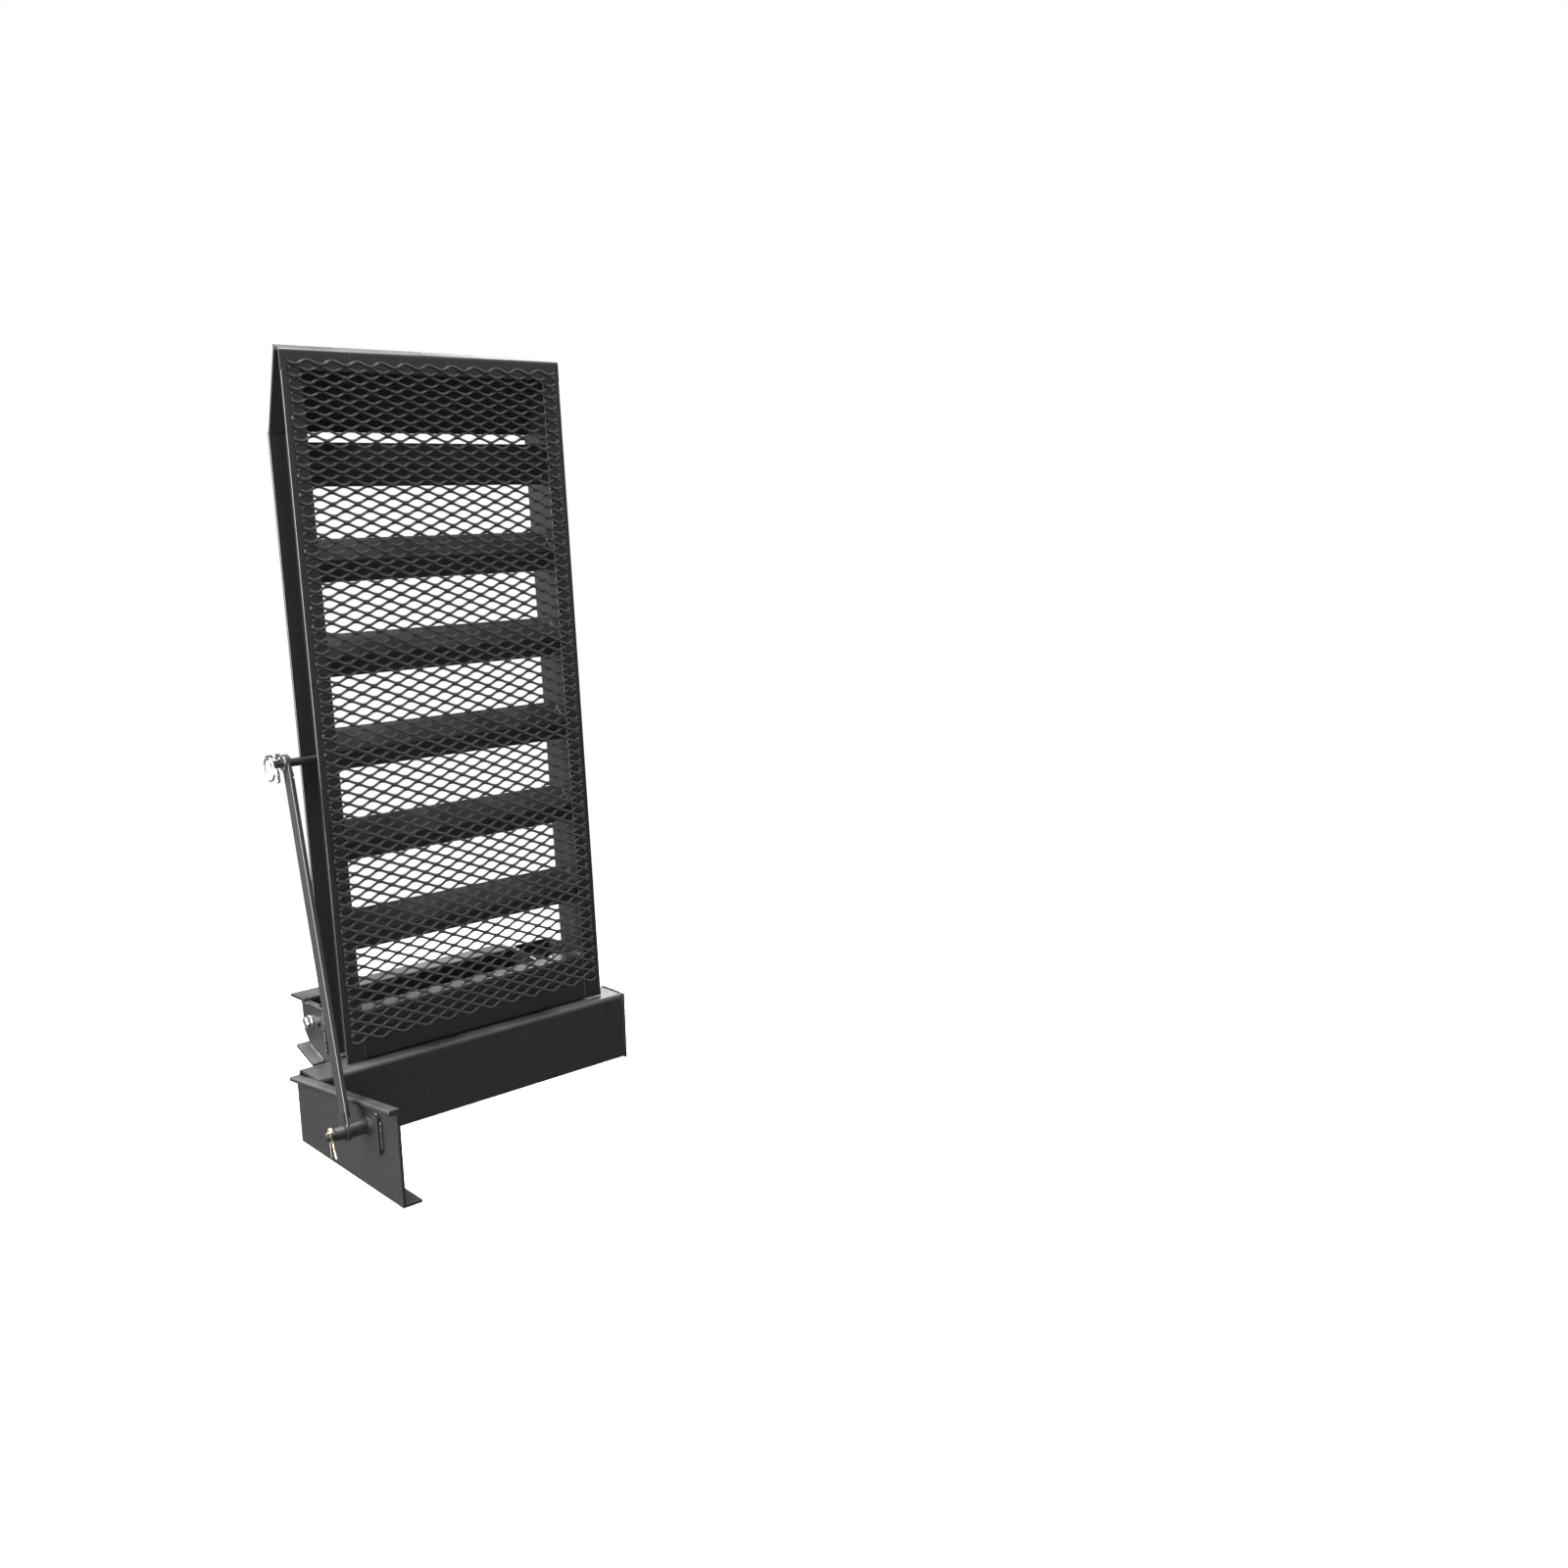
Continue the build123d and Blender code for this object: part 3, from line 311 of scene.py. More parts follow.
def swept(path, radius, sides, loop=False):
    """Rings round a path: at each point the section is cos times one normal plus sin times the other, where
    the first normal is square to the way the path turns least towards."""
    path = np.asarray(path)
    ahead, behind = np.roll(path, -1, axis=0), np.roll(path, 1, axis=0)
    if not loop:
        ahead[-1], behind[0] = path[-1], path[0]
    way = ahead - behind
    way /= np.linalg.norm(way, axis=1, keepdims=True)
    spare = np.eye(3)[np.argmin(np.abs(way).max(axis=0))]
    first = np.cross(way, spare)
    first /= np.linalg.norm(first, axis=1, keepdims=True)
    second = np.cross(way, first)
    angle = np.linspace(0.0, 2.0 * np.pi, sides, endpoint=False)[None, :, None]
    radius = np.broadcast_to(radius, len(path))
    section = np.cos(angle) * first[:, None] + np.sin(angle) * second[:, None]
    return path[:, None] + radius[:, None, None] * section, loop


def bead(start, end, radius=BEAD_R):
    """A weld bead from start to end: a tube whose radius drops off after each ripple's crest, wanders slowly,
    and closes down to a third at its two ends."""
    start, end = np.asarray(start), np.asarray(end)
    length = np.linalg.norm(end - start)
    rings = max(2 * RINGS_A_RIPPLE, int(length / BEAD_RIPPLE * RINGS_A_RIPPLE))
    share = np.linspace(0.0, 1.0, rings)
    travel = share * length
    ripple = np.mod(travel / BEAD_RIPPLE, 1.0)
    wander = sum(size * np.sin(travel * rate + length * shift) for size, rate, shift in BEAD_WANDER)
    close = np.clip(np.minimum(travel, length - travel) / (BEAD_END_LENGTH * radius), 0.0, 1.0)
    ends = BEAD_END_SHARE + (1.0 - BEAD_END_SHARE) * np.sqrt(close)
    size = radius * (BEAD_BODY + BEAD_CREST * ripple + wander) * ends
    return swept(start + share[:, None] * (end - start), size, BEAD_SIDES)


def ramp_bead(start, end, radius=BEAD_R):
    """A weld bead between two (across, into, up) points of the ramp."""
    return bead(on_ramp(*start), on_ramp(*end), radius)


rung_beads = []
for rung in RUNGS:
    low, high = ramp_box(rung)
    ridge = (low[2] + high[2]) / 2
    leg_end = high[1] - 3 * LEG_STOP
    rise = (high[2] - low[2]) / 2 - 2 * LEG_STOP
    for side, web in ((1, low[0]), (-1, high[0])):
        at = web + side * OFF_WEB
        for way in (-1, 1):
            near = (at, low[1] + LEG_STOP, ridge + way * OFF_RIDGE)
            rung_beads.append(ramp_bead(near, (at, leg_end, ridge + way * rise)))
closed_piece("rung_welds", rung_beads, "ramp", weld_enamel)

# ---- frame welds -------------------------------------------------------------------------------
# Beads that hold the foot channel, the tip plate and the skid plate to the rails. The long ones across the
# ramp are stitched: a run of bead, then a gap.
STITCH = 0.045
STITCH_GAP = 0.055
STITCH_START = 0.02
FLAT_BEAD_R = 0.0017
STITCH_R = 0.0028
SKID_BEAD_R = 0.0030
SEAM_SINK = 0.0006
RAIL_EDGE = 0.003
WEB_BEAD_START = 0.008
FOOT_CORNER = 0.006

foot_low, foot_high = ramp_box("foot_channel")
tip_low, tip_high = ramp_box("tip_cap")
skid_low, skid_high = ramp_box("tip_skid_plate")
frame_beads = []
for side in (-1, 1):
    web = side * foot_high[0]
    outer = side * (HALF_WIDTH - RAIL_EDGE)
    foot_top, foot_end, skid_back = foot_high[2], foot_high[1] - RAIL_EDGE, skid_high[1]
    face_run = (foot_low[2] + FOOT_CORNER, foot_top - FOOT_CORNER)
    frame_beads.append(ramp_bead((web, WEB_BEAD_START, foot_top), (web, foot_end, foot_top)))
    frame_beads.append(ramp_bead((web, 0.0, face_run[0]), (web, 0.0, face_run[1]), FLAT_BEAD_R))
    frame_beads.append(ramp_bead((web, 0.0, tip_low[2]), (outer, 0.0, tip_low[2]), FLAT_BEAD_R))
    skid_edge = skid_low[2]
    frame_beads.append(ramp_bead((web, skid_back, skid_edge), (outer, skid_back, skid_edge), SKID_BEAD_R))
seam = (tip_high[1] + SEAM_SINK, skid_high[2] - SEAM_SINK)
for start in np.arange(-HALF_WIDTH + STITCH_START, HALF_WIDTH - STITCH, STITCH + STITCH_GAP):
    frame_beads.append(ramp_bead((start, *seam), (start + STITCH, *seam), STITCH_R))
closed_piece("frame_welds", frame_beads, "ramp", weld_enamel)

# ---- tread -------------------------------------------------------------------------------------
# Raised expanded metal: a plate slit and pulled open, so each row is one strand that zigzags across the
# ramp, standing forward at its lower bonds and back at its upper ones. It is welded over the frame.
LONG_WAY = 0.0508
SHORT_WAY = 0.0234
STRAND_WIDE = 0.0050
STRAND_THICK = 0.0028
STRAND_OVERLAP = 0.35
STRAND_STEP_BACK = 0.9
BOND_SHARE = 0.10
STRAND_EASE = 0.45
STRAND_STATIONS = (0.0, 0.05, 0.095, 0.16, 0.25, 0.34, 0.405, 0.45)
BOND_TILT = 22.0
LEG_TILT = 16.0
TACK_R = 0.0042
TACK_EVERY = 3
TACK_INSET = 0.0035
TACK_PROUD = 0.0022
TACK_SWAY = 0.0022
TACK_SWAY_RATE = 2.7
TACK_RINGS, TACK_SIDES = 5, 7
TACK_CUT = 0.12
TACK_THICK, TACK_TALL = 1.1, 1.25

sheet_low, sheet_high = ramp_box("tread_mesh")
tread_enamel = enamel("tread_enamel", gloss=0.24, dust_and_top_light=0.22, ripple=0.4)
row_rise = SHORT_WAY / 2
rows = int((sheet_high[2] - sheet_low[2]) / row_rise)


def expanded_strands():
    """One tube for each row. Along x the height is a trapezium wave between two bond lines, part of the way
    eased into a smooth step, the depth steps back with the height, and the four-cornered section is turned
    most where the strand climbs."""
    first = np.floor(sheet_low[0] / LONG_WAY)
    wave = np.arange(first, -first, 0.5)[:, None] + np.array(STRAND_STATIONS)[None, :]
    across = wave.ravel() * LONG_WAY
    across = across[(across > sheet_low[0]) & (across < sheet_high[0])]
    across = np.concatenate([[sheet_low[0]], across, [sheet_high[0]]])
    row = np.arange(rows)[:, None]
    fold = np.abs(2.0 * np.mod(across[None, :] / LONG_WAY + row / 2.0, 1.0) - 1.0)
    climb = np.clip((fold - BOND_SHARE) / (1.0 - 2.0 * BOND_SHARE), 0.0, 1.0)
    climb += (climb**2 * (3.0 - 2.0 * climb) - climb) * STRAND_EASE
    overlap = STRAND_WIDE * STRAND_OVERLAP
    up = sheet_low[2] + row * row_rise + overlap + climb * (row_rise - 2.0 * overlap)
    into = (climb - 0.5) * STRAND_THICK * STRAND_STEP_BACK - STRAND_THICK
    tilt = np.radians(BOND_TILT + LEG_TILT * np.sin(np.pi * climb))[..., None]
    wide = np.array([-0.5, 0.5, 0.5, -0.5]) * STRAND_WIDE
    thick = np.array([-0.5, -0.5, 0.5, 0.5]) * STRAND_THICK
    up = up[..., None] + wide * np.cos(tilt) - thick * np.sin(tilt)
    into = into[..., None] + wide * np.sin(tilt) + thick * np.cos(tilt)
    points = on_ramp(np.broadcast_to(across[None, :, None], up.shape), into, up)
    return [(rings, False) for rings in points]


closed_piece("tread_strands", expanded_strands(), "ramp", tread_enamel, ("tread_mesh",))


def weld_blob(across, into, up, size):
    """A flattened blob: rings whose radius follows the sine of their share of the height."""
    share = np.linspace(TACK_CUT, 1.0 - TACK_CUT, TACK_RINGS)[:, None]
    angle = np.linspace(0.0, 2.0 * np.pi, TACK_SIDES, endpoint=False)[None, :]
    reach = size * np.sin(np.pi * share)
    lift = (0.5 - share) * size * TACK_THICK
    return on_ramp(across + reach * np.cos(angle), into + lift, up + reach * TACK_TALL * np.sin(angle)), False


tacks = []
for row in range(1, rows - 1, TACK_EVERY):
    sway = TACK_SWAY * np.sin(row * TACK_SWAY_RATE)
    height = sheet_low[2] + (row + 0.5) * row_rise + sway
    for side in (-1, 1):
        tacks.append(weld_blob(side * (sheet_high[0] - TACK_INSET + sway / 2), -TACK_PROUD, height, TACK_R))
closed_piece("tread_tacks", tacks, "ramp", weld_enamel)

# ---- heel --------------------------------------------------------------------------------------
# Plates behind the rails that carry the hinge: side plates, a cross angle with a blade pointing back, a
# boxed right end and a sloped kick plate under them, all welded together and painted with the ramp.
PLATE_T = 0.006
INSIDE_PLATE = 0.0065
BEAD_PROUD = 0.0005
BEAD_OFF = 0.001
KICK_RISE = 0.0064
KICK_BEAD = (0.012, 0.002, 0.0036)
RAIL_BEAD = (0.004, 0.090, 0.0030)
INNER_BEAD = (0.010, 0.088, 0.0028)
BLADE_BEAD = (0.036, 0.092, 0.0028)
BOX_BEAD = (0.036, 0.098, 0.0028)
TOP_BEAD = (0.030, 0.002, 0.0024)
KICK_BEAD_OUT = 0.0012

heel_enamel = enamel("heel_enamel", gloss=0.27, dust_and_top_light=0.50, rubbed=0.25)
paint_nodes(heel_enamel, "heel_plate_left", "heel_plate_right", "heel_angle", "heel_inner_plate")
paint_nodes(heel_enamel, "heel_box_plate", "heel_tab_left", "heel_tab_right", "heel_kick_plate")
paint_nodes(heel_enamel, "hinge_barrel_left", "hinge_barrel_right")
kick_low, kick_high = ramp_box("heel_kick_plate")
heel_back = ramp_box("heel_plate_right")[1][1]
blade_end, blade_top = ramp_box("heel_angle")[1][[0, 2]]
kick_fall = (kick_high[2] - kick_low[2] - KICK_RISE) / (kick_high[1] - kick_low[1])


def kick_point(across, into):
    """A point just over the kick plate: its back edge's height less the slope times the distance forward."""
    return (across, into, kick_high[2] - (kick_high[1] - into) * kick_fall + BEAD_OFF)


def upright_bead(across, into, low, high, radius):
    """A weld bead that runs up the ramp from low to high."""
    return ramp_bead((across, into, low), (across, into, high), radius)


heel_beads = []
for side in (-1, 1):
    face = side * (HALF_WIDTH + KICK_BEAD_OUT)
    back_stop, front_stop, kick_bead_r = KICK_BEAD
    back_end = kick_point(face, kick_high[1] - back_stop)
    heel_beads.append(ramp_bead(back_end, kick_point(face, kick_low[1] + front_stop), kick_bead_r))
    heel_beads.append(upright_bead(face, RAIL_DEPTH + BEAD_OFF, *RAIL_BEAD))
    heel_beads.append(upright_bead(side * (HALF_WIDTH - INSIDE_PLATE), RAIL_DEPTH + BEAD_OFF, *INNER_BEAD))
top_at = (-HALF_WIDTH - BEAD_PROUD, blade_top - INSIDE_PLATE)
top_start, top_stop = ((top_at[0], heel_back - inset, top_at[1]) for inset in TOP_BEAD[:2])
heel_beads.append(ramp_bead(top_start, top_stop, TOP_BEAD[2]))
heel_beads.append(upright_bead(blade_end, heel_back + BEAD_PROUD, *BLADE_BEAD))
heel_beads.append(upright_bead(blade_end + INSIDE_PLATE, heel_back - INSIDE_PLATE, *BOX_BEAD))
closed_piece("heel_welds", heel_beads, "ramp", weld_enamel)

# ---- heel bolts --------------------------------------------------------------------------------
# Zinc-plated hex bolts through the heel plates, with a flat washer under each head and nut. The heads have
# the usual cone-cut corners, and the threads show past the nuts inside.
ZINC = (0.66, 0.67, 0.69, 1.0)
ZINC_DULL = (0.40, 0.41, 0.43, 1.0)
ZINC_CLOUD, ZINC_CLOUD_RANGE = 0.0045, (0.38, 0.72)
ZINC_SPOT, ZINC_SPOT_RANGE, ZINC_SPOT_SHARE = 0.0016, (0.56, 0.70), 0.5
DRAWN_SIZE, DRAWN_STRETCH, DRAWN_HEIGHT, DRAWN_SHARE = 0.0012, (1.0, 12.0, 12.0), 0.00005, 0.35
DULL_ROUGH = 0.20
HEX_ACROSS = 0.024
HEX_SIDES, ROUND_SIDES = 36, 28
THREAD_PITCH = 0.002
THREAD_DEPTH = 0.0011
RINGS_A_PITCH = 4
BOLT_R = 0.008
WASHER_T = 0.003
WASHER_R = 0.0150
TAB_T = 0.008
NUT_TALL = 0.013
EASED = 0.0004
PAST_CORNERS_R = 0.0150
HEAD_SEAT_R, HEAD_FACE_R, HEAD_DISH_R, HEAD_CONE = 0.0108, 0.0107, 0.0085, 0.0020
WASHER_BACK_R, WASHER_FRONT_R, WASHER_EDGE, WASHER_BACK_EDGE = 0.0140, 0.0143, 0.0005, 0.0003
NUT_FAR_R, NUT_SEAT_R, NUT_FAR_CONE, NUT_SEAT_CONE = 0.0112, 0.0118, 0.0018, 0.0012
STUB_TIP_R, STUB_OUT, STUB_CONE, STUB_IN = 0.0066, 0.004, 0.003, 0.001
ZINC_ROUGH = 0.22


def zinc_plate(name, bright, dull, roughness):
    """Plated steel: the colour wavers between bright and dull in small clouds, dull spots are rougher, and
    fine drawn lines run round the piece in the normal."""
    plating = Finish(name)
    spots = plating.step(plating.clouds(ZINC_SPOT, detail=2.0), *ZINC_SPOT_RANGE)
    cloud = plating.step(plating.clouds(ZINC_CLOUD, detail=4.0), *ZINC_CLOUD_RANGE)
    drawn = plating.clouds(DRAWN_SIZE, detail=2.0, stretch=DRAWN_STRETCH)
    dulled = (cloud + spots * ZINC_SPOT_SHARE).at_most(1.0)
    return plating.surface(
        Base_Color=plating.blend_colour(dulled, bright, dull),
        Metallic=1.0,
        Roughness=dulled * DULL_ROUGH + roughness,
        Normal=plating.bump(drawn, DRAWN_HEIGHT, DRAWN_SHARE),
    )


bright_zinc = zinc_plate("bright_zinc", ZINC, ZINC_DULL, ZINC_ROUGH)


def turned(centre, profile, sides, across=None, thread=None):
    """A piece turned about a line along x through the centre. The profile is (x, radius) pairs. With across,
    the radius is no more than half of it over the cosine of the angle from the nearest flat, a hexagon. With
    thread, rings are closer and the radius falls by a triangle wave that climbs one pitch a turn."""
    profile = np.asarray(profile)
    if thread is not None:
        x_low, x_high = profile[0, 0], profile[-1, 0]
        x = np.linspace(x_low, x_high, int(abs(x_high - x_low) / THREAD_PITCH * RINGS_A_PITCH))
        profile = np.column_stack([x, np.interp(x, *profile[np.argsort(profile[:, 0])].T)])
    angle = np.linspace(0.0, 2.0 * np.pi, sides, endpoint=False)[None, :]
    radius = profile[:, 1:] + 0.0 * angle
    if across is not None:
        from_flat = np.mod(angle, np.pi / 3) - np.pi / 6
        radius = np.minimum(radius, across / 2 / np.cos(from_flat))
    if thread is not None:
        wave = np.abs(2.0 * np.mod(profile[:, :1] / THREAD_PITCH + angle / (2.0 * np.pi), 1.0) - 1.0)
        radius = radius - thread * wave
    into = centre[0] + radius * np.cos(angle)
    up = centre[1] + radius * np.sin(angle)
    return on_ramp(profile[:, :1] + 0.0 * angle, into, up), False


def middle_line(name):
    """The (into, up) of the line along x through the middle of a CAD node's box."""
    low, high = ramp_box(name)
    return ((low[1] + high[1]) / 2, (low[2] + high[2]) / 2)


bolt_line = middle_line("heel_bolts")
head_seat = ramp_box("heel_washers")[1][0]
head_top = ramp_box("heel_bolts")[1][0]
washer_seat = head_seat - WASHER_T
nut_washer = HALF_WIDTH - PLATE_T - TAB_T
nut_seat = nut_washer - WASHER_T
nut_far = nut_seat - NUT_TALL
head = [(head_seat, HEAD_SEAT_R), (head_seat + EASED, PAST_CORNERS_R)]
head += [(head_top - HEAD_CONE, PAST_CORNERS_R), (head_top, HEAD_FACE_R)]
head += [(head_top, HEAD_DISH_R), (head_top - EASED, BOLT_R)]
washer = [(washer_seat, WASHER_BACK_R), (washer_seat + EASED, WASHER_R)]
washer += [(head_seat - WASHER_EDGE, WASHER_R), (head_seat, WASHER_FRONT_R)]
inner_washer = [(nut_seat, WASHER_FRONT_R), (nut_seat + WASHER_EDGE, WASHER_R)]
inner_washer += [(nut_washer - WASHER_BACK_EDGE, WASHER_R)]
nut = [(nut_far, NUT_FAR_R), (nut_far + NUT_FAR_CONE, PAST_CORNERS_R)]
nut += [(nut_seat - NUT_SEAT_CONE, PAST_CORNERS_R), (nut_seat, NUT_SEAT_R)]
stub = [(nut_far - STUB_OUT, STUB_TIP_R), (nut_far - STUB_CONE, BOLT_R), (nut_far + STUB_IN, BOLT_R)]
heel_hardware = []
for side in (-1, 1):
    for profile, sides, across, thread in (
        (head, HEX_SIDES, HEX_ACROSS, None),
        (washer, ROUND_SIDES, None, None),
        (inner_washer, ROUND_SIDES, None, None),
        (nut, HEX_SIDES, HEX_ACROSS, None),
        (stub, ROUND_SIDES, None, THREAD_DEPTH),
    ):
        mirrored = [(side * x, radius) for x, radius in profile]
        heel_hardware.append(turned(bolt_line, mirrored, sides, across, thread))
HARDWARE = ("heel_bolts", "heel_nuts", "heel_washers")
closed_piece("heel_bolts_and_nuts", heel_hardware, "ramp", bright_zinc, HARDWARE, crease=28.0)

# ---- brace stud --------------------------------------------------------------------------------
# A round stud through a doubler on the left rail's web, welded all round, with a collar that stops the
# brace's eye. Its loose washer is plated, the rest is painted.
STUD_BEAD = (0.0085, 0.0026)
PAD_BEAD = (0.0202, 0.0028)

paint_nodes(enamel("stud_enamel", gloss=0.25, dust_and_top_light=0.40), "brace_stud", "stud_pad", "stud_collar")
paint_nodes(bright_zinc, "stud_washer")
pad_low, pad_high = ramp_box("stud_pad")
stud_line = middle_line("brace_stud")


def ring_bead(centre, across, radius, size):
    """A weld bead round a circle that faces along x: the same ripples, laid on the circle's length."""
    rings = int(2.0 * np.pi * radius / BEAD_RIPPLE * RINGS_A_RIPPLE)
    angle = np.linspace(0.0, 2.0 * np.pi, rings, endpoint=False)
    path = centre(across, radius * np.cos(angle), radius * np.sin(angle))
    ripple = np.mod(angle * radius / BEAD_RIPPLE, 1.0)
    return swept(path, size * (BEAD_BODY + BEAD_CREST * ripple), BEAD_SIDES, loop=True)


def about_stud(across, into, up):
    """Points at a distance from the stud's own line."""
    return on_ramp(across, stud_line[0] + into, stud_line[1] + up)


pad_bead = ring_bead(about_stud, pad_high[0] - BEAD_PROUD, *PAD_BEAD)
stud_beads = [ring_bead(about_stud, pad_low[0], *STUD_BEAD), pad_bead]
closed_piece("stud_welds", stud_beads, "ramp", weld_enamel)

# ---- linchpin ----------------------------------------------------------------------------------
# The quick pin through the stud: a plated shank with a forged head, and a sprung wire ring hinged in the
# head that is flipped over to lock or to pull it out.
RING_WIRE_R = 0.0020
RING_STATIONS = 96
RING_SIDES = 14

paint_nodes(bright_zinc, "linchpin")
ring_low, ring_high = ramp_box("linchpin_ring")
ring_x, ring_into, ring_up = (ring_low + ring_high) / 2
ring_r = (ring_high[2] - ring_low[2]) / 2 - RING_WIRE_R
ring_angle = np.linspace(0.0, 2.0 * np.pi, RING_STATIONS, endpoint=False)
ring_path = on_ramp(ring_x, ring_into + ring_r * np.cos(ring_angle), ring_up + ring_r * np.sin(ring_angle))
ring_wire = [swept(ring_path, RING_WIRE_R, RING_SIDES, loop=True)]
closed_piece("linchpin_ring_wire", ring_wire, "linchpin_ring", bright_zinc, ("linchpin_ring",))

# ---- brace -------------------------------------------------------------------------------------
# A length of light angle, its narrow leg cut back at both ends where the wide leg is thickened into an eye.
# It turns on a pin at the side of the trailer and its upper eye drops over the stud.
paint_nodes(enamel("brace_enamel", gloss=0.34, dust_and_top_light=0.30, rubbed=0.30), "brace")

# ---- brace foot --------------------------------------------------------------------------------
# The pin that the brace turns on: a doubler and a sleeve welded to the trailer's side, the pin through
# them, a spacer outside the brace, and a yellow-plated hairpin clip through the pin's end.
YELLOW = (0.88, 0.80, 0.58, 1.0)
YELLOW_DULL = (0.66, 0.56, 0.36, 1.0)
CLIP_WIRE_R = 0.0017
CLIP_SIDES = 12
CLIP_LOOP_R = 0.0065
CLIP_SIDE_STEP = -2.2 * CLIP_WIRE_R
CLIP_LEG_POINTS, CLIP_LOOP_POINTS = 60, 90
CLIP_TIP = 0.002
CLIP_OUTER_TIP = 0.006
HUG_END = 0.62
HUG_WIRE = 1.15
FLARE_OUT = -0.0075
FLARE_POWER = 1.5
STEP_BACK_RATE = 2.5
EASING_PASSES = 3
SLEEVE_BEAD = (0.0148, 0.0030)
BRACKET_CORNER = 0.010

pivot_enamel = enamel("pivot_enamel", gloss=0.28, dust_and_top_light=0.45)
paint_nodes(pivot_enamel, "brace_bracket", "pivot_sleeve", "brace_pivot_pin", "pivot_spacer")
yellow_zinc = zinc_plate("yellow_zinc", YELLOW, YELLOW_DULL, 0.20)
clip_low, clip_high = (np.array(corner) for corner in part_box("hairpin_clip"))
pin_low, pin_high = (np.array(corner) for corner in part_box("brace_pivot_pin"))
clip_x = (clip_low[0] + clip_high[0]) / 2
pin_y = (pin_low[1] + pin_high[1]) / 2
pin_z = (pin_low[2] + pin_high[2]) / 2
pin_r = (pin_high[2] - pin_low[2]) / 2


def hairpin_path():
    """The clip's line: straight up through the pin, once round a loop, then down outside the pin in a wave
    that hugs it and flares away at the end. Each stretch is joined to the next and eased by averaging."""
    loop_z = clip_high[2] - CLIP_WIRE_R - CLIP_LOOP_R
    rise = np.linspace(clip_low[2] + CLIP_TIP, loop_z, CLIP_LEG_POINTS)
    straight = np.column_stack([np.zeros(CLIP_LEG_POINTS), np.zeros(CLIP_LEG_POINTS), rise])
    angle = np.linspace(0.0, 3.0 * np.pi, CLIP_LOOP_POINTS)
    loop_x = np.linspace(0.0, CLIP_SIDE_STEP, CLIP_LOOP_POINTS)
    loop_y = CLIP_LOOP_R * np.cos(angle) - CLIP_LOOP_R
    loop = np.column_stack([loop_x, loop_y, loop_z + CLIP_LOOP_R * np.sin(angle)])
    fall = np.linspace(0.0, 1.0, CLIP_LEG_POINTS)
    swing = 2.0 * CLIP_LOOP_R - pin_r - HUG_WIRE * CLIP_WIRE_R
    hug = -2.0 * CLIP_LOOP_R + swing * np.sin(np.pi * np.clip(fall / HUG_END, 0.0, 1.0))
    flare = FLARE_OUT * np.clip((fall - HUG_END) / (1.0 - HUG_END), 0.0, 1.0) ** FLARE_POWER
    outer_z = loop_z - fall * (loop_z - clip_low[2] - CLIP_OUTER_TIP)
    outer_x = CLIP_SIDE_STEP * (1.0 - np.clip(fall * STEP_BACK_RATE, 0.0, 1.0))
    outer = np.column_stack([outer_x, hug + flare, outer_z])
    path = np.concatenate([straight, loop[1:], outer[1:]]) + np.array([clip_x, pin_y, 0.0])
    for _ in range(EASING_PASSES):
        path[1:-1] = (path[:-2] + 2.0 * path[1:-1] + path[2:]) / 4.0
    return path


clip_wire = [swept(hairpin_path(), CLIP_WIRE_R, CLIP_SIDES)]
closed_piece("hairpin_wire", clip_wire, "hairpin", yellow_zinc, ("hairpin_clip",))
bracket_low, bracket_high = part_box("brace_bracket")


def about_pivot(across, back, up):
    """Points at a distance from the pivot pin's own line."""
    across, back, up = np.broadcast_arrays(across, back, up)
    return np.stack([across, pin_y + back, pin_z + up], -1)


pivot_beads = [ring_bead(about_pivot, bracket_low.x, *SLEEVE_BEAD)]
weld_x = bracket_high.x - BEAD_OFF
for z in (bracket_low.z, bracket_high.z):
    ends = (bracket_low.y + BRACKET_CORNER, bracket_high.y - BRACKET_CORNER)
    pivot_beads.append(bead((weld_x, ends[0], z), (weld_x, ends[1], z)))
for y in (bracket_low.y, bracket_high.y):
    ends = (bracket_low.z + BRACKET_CORNER, bracket_high.z - BRACKET_CORNER)
    pivot_beads.append(bead((weld_x, y, ends[0]), (weld_x, y, ends[1])))
closed_piece("pivot_welds", pivot_beads, "trailer_tail", weld_enamel)

# ---- tail of the trailer -----------------------------------------------------------------------
# A stub of the trailer: the box-section tail beam that the ramp stands on, its end plate, and the last
# stretch of the left side with its rounded rim. The hinge lugs are welded to the back of the beam.
BEAM_BEND = 0.010
SIDE_BEAD_R = 0.0036
CAP_BEAD_R = 0.0026
LUG_T = 0.010
LUG_BEAD = (0.008, 0.004)

tail_enamel = enamel("tail_enamel", gloss=0.26, dust_and_top_light=0.55, ripple=1.5)
paint_nodes(tail_enamel, "tail_beam", "beam_end_cap", "side_rail", "hinge_lugs_left", "hinge_lugs_right")
beam_low, beam_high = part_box("tail_beam")
left, right, top, back = beam_low.x, beam_high.x, beam_high.z, beam_high.y
run = (beam_low.z + BEAM_BEND, top - BEAM_BEND)
tail_beads = []
for y in (beam_low.y, back):
    tail_beads.append(bead((left, y, run[0]), (left, y, run[1]), SIDE_BEAD_R))
    tail_beads.append(bead((right, y, run[0]), (right, y, run[1]), CAP_BEAD_R))
tail_beads.append(bead((right, BEAM_BEND, top), (right, back - BEAM_BEND, top), CAP_BEAD_R))
for lugs in ("hinge_lugs_left", "hinge_lugs_right"):
    lug_low, lug_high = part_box(lugs)
    lug_run = (lug_low.z + LUG_BEAD[0], lug_high.z - LUG_BEAD[1])
    for x in (lug_low.x, lug_low.x + LUG_T, lug_high.x - LUG_T, lug_high.x):
        tail_beads.append(bead((x, back + BEAD_OFF, lug_run[0]), (x, back + BEAD_OFF, lug_run[1])))
closed_piece("tail_welds", tail_beads, "trailer_tail", weld_enamel)

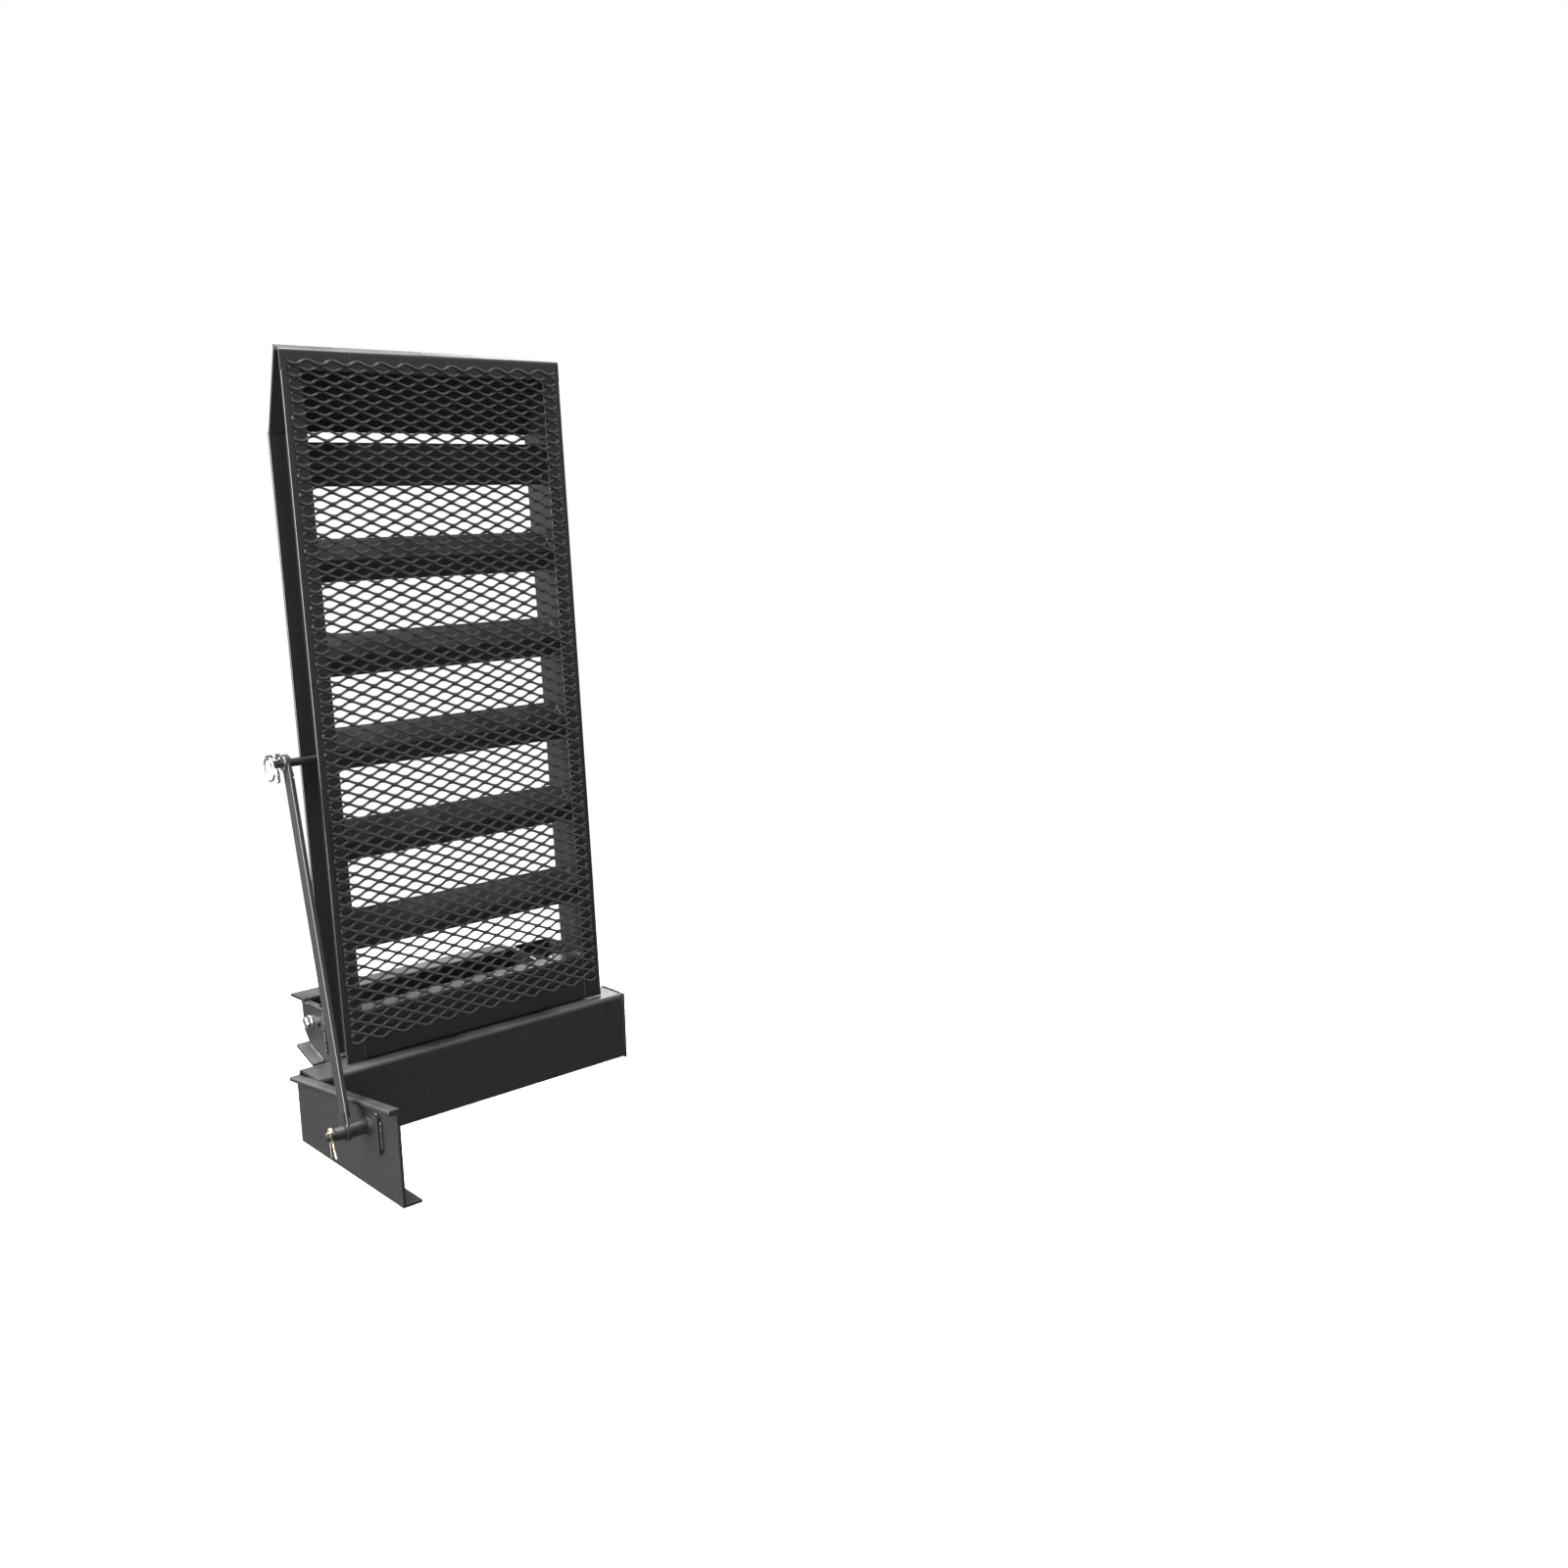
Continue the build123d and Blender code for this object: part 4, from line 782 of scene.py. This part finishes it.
# ---- hinge pins --------------------------------------------------------------------------------
# Headed plated pins through the lugs and the ramp's barrels, each kept by a washer and a split pin.
# They are the only bright pieces of the hinge, since the lugs and barrels are painted.
paint_nodes(bright_zinc, "hinge_pin_left", "hinge_pin_right", "hinge_washers", "hinge_cotters")

# ---- studio ------------------------------------------------------------------------------------
# A pale floor at the height where the lowered ramp's tip touches down, a white backdrop, and large soft
# lights. The floor fades to white and gloss never mirrors it: gloss and light see a darker world that the
# camera doesn't, near black below, as from a dark deck in front, with light above and to the left.
FLOOR_HALF = 40.0
FLOOR_PALE = (0.88, 0.88, 0.88, 1.0)
WHITE = (1.0, 1.0, 1.0, 1.0)
FLOOR_PLAIN = 1.2
FLOOR_FADED = 3.6
FLOOR_CLOUD = 0.5
FLOOR_ROUGH = (0.7, 0.2)
GROUND_GLOW = 0.02
LOW_SKY = (-0.24, 0.24, 0.80)
HIGH_SKY = (0.20, 0.90, 0.80)
LEFT_CARD = (-0.20, -0.75, 0.35)
AIM = (0.0, 0.0, 0.7)

hinge = joints["ramp_fold"]
hinge_at = Vector(hinge["pos_m"])
lowered = Matrix.Rotation(np.radians(hinge["range_deg"][1]), 4, Vector(hinge["axis"]))
ground = min((hinge_at + lowered @ (corner.co - hinge_at)).z for corner in nodes["tip_cap"].data.vertices)
floor_mesh = bpy.data.meshes.new("studio_floor")
floor_corners = np.array([[-1, -1], [1, -1], [1, 1], [-1, 1]]) * FLOOR_HALF
floor_mesh.from_pydata(np.column_stack([floor_corners, np.full(4, ground)]).tolist(), [], [[0, 1, 2, 3]])
floor = bpy.data.objects.new("studio_floor", floor_mesh)
bpy.context.scene.collection.objects.link(floor)
floor_paint = Finish("studio_floor_paint")
away = floor_paint.node("ShaderNodeVectorMath", {"operation": "LENGTH"}, {0: floor_paint.place}, out="Value")
fade = floor_paint.step(away, FLOOR_PLAIN, FLOOR_FADED)
floor_mesh.materials.append(
    floor_paint.surface(
        Base_Color=floor_paint.blend_colour(fade, FLOOR_PALE, grey(0.0)),
        Emission_Color=floor_paint.blend_colour(fade, grey(0.0), WHITE),
        Emission_Strength=1.0,
        Roughness=floor_paint.clouds(FLOOR_CLOUD) * FLOOR_ROUGH[1] + FLOOR_ROUGH[0],
        Specular_IOR_Level=0.0,
    )
)
floor.visible_glossy = False


def soft_light(name, place, size, power):
    """A square area light at place, turned towards the middle of the ramp."""
    data = bpy.data.lights.new(name, "AREA")
    data.size = size
    data.energy = power
    lamp = bpy.data.objects.new(name, data)
    bpy.context.scene.collection.objects.link(lamp)
    lamp.location = place
    lamp.rotation_euler = (Vector(AIM) - Vector(place)).to_track_quat("-Z", "Y").to_euler()


soft_light("key_left", (-4.6, 0.2, 1.9), 5.0, 1800.0)
soft_light("overhead", (-0.4, 0.8, 4.6), 3.2, 520.0)
soft_light("back_right", (3.4, 3.0, 2.6), 2.4, 130.0)

world = bpy.data.worlds.new("studio_backdrop")
bpy.context.scene.world = world
world.use_nodes = True
backdrop = Bench(world.node_tree)
sky_way = backdrop.node("ShaderNodeTexCoord", out="Generated")


def glow(axis, start, end, reached):
    """Brightness that climbs smoothly from 0 at start to reached at end, along one part of the direction."""
    part = backdrop.node("ShaderNodeSeparateXYZ", {}, {"Vector": sky_way}, out=axis)
    climb = {"Value": part, "From Min": start, "From Max": end, "To Min": 0.0, "To Max": reached}
    return backdrop.node("ShaderNodeMapRange", {"interpolation_type": "SMOOTHSTEP"}, climb)


strength = glow("Z", *LOW_SKY) + glow("Z", *HIGH_SKY) + glow("X", *LEFT_CARD) + GROUND_GLOW
lit = backdrop.node("ShaderNodeBackground", {}, {"Strength": strength})
seen = backdrop.node("ShaderNodeBackground", {}, {"Color": WHITE})
eye_ray = backdrop.node("ShaderNodeLightPath", out="Is Camera Ray")
either = backdrop.node("ShaderNodeMixShader", {}, {0: eye_ray, 1: lit, 2: seen})
backdrop.node("ShaderNodeOutputWorld", {}, {"Surface": either})
bpy.context.scene.view_settings.view_transform = "Standard"
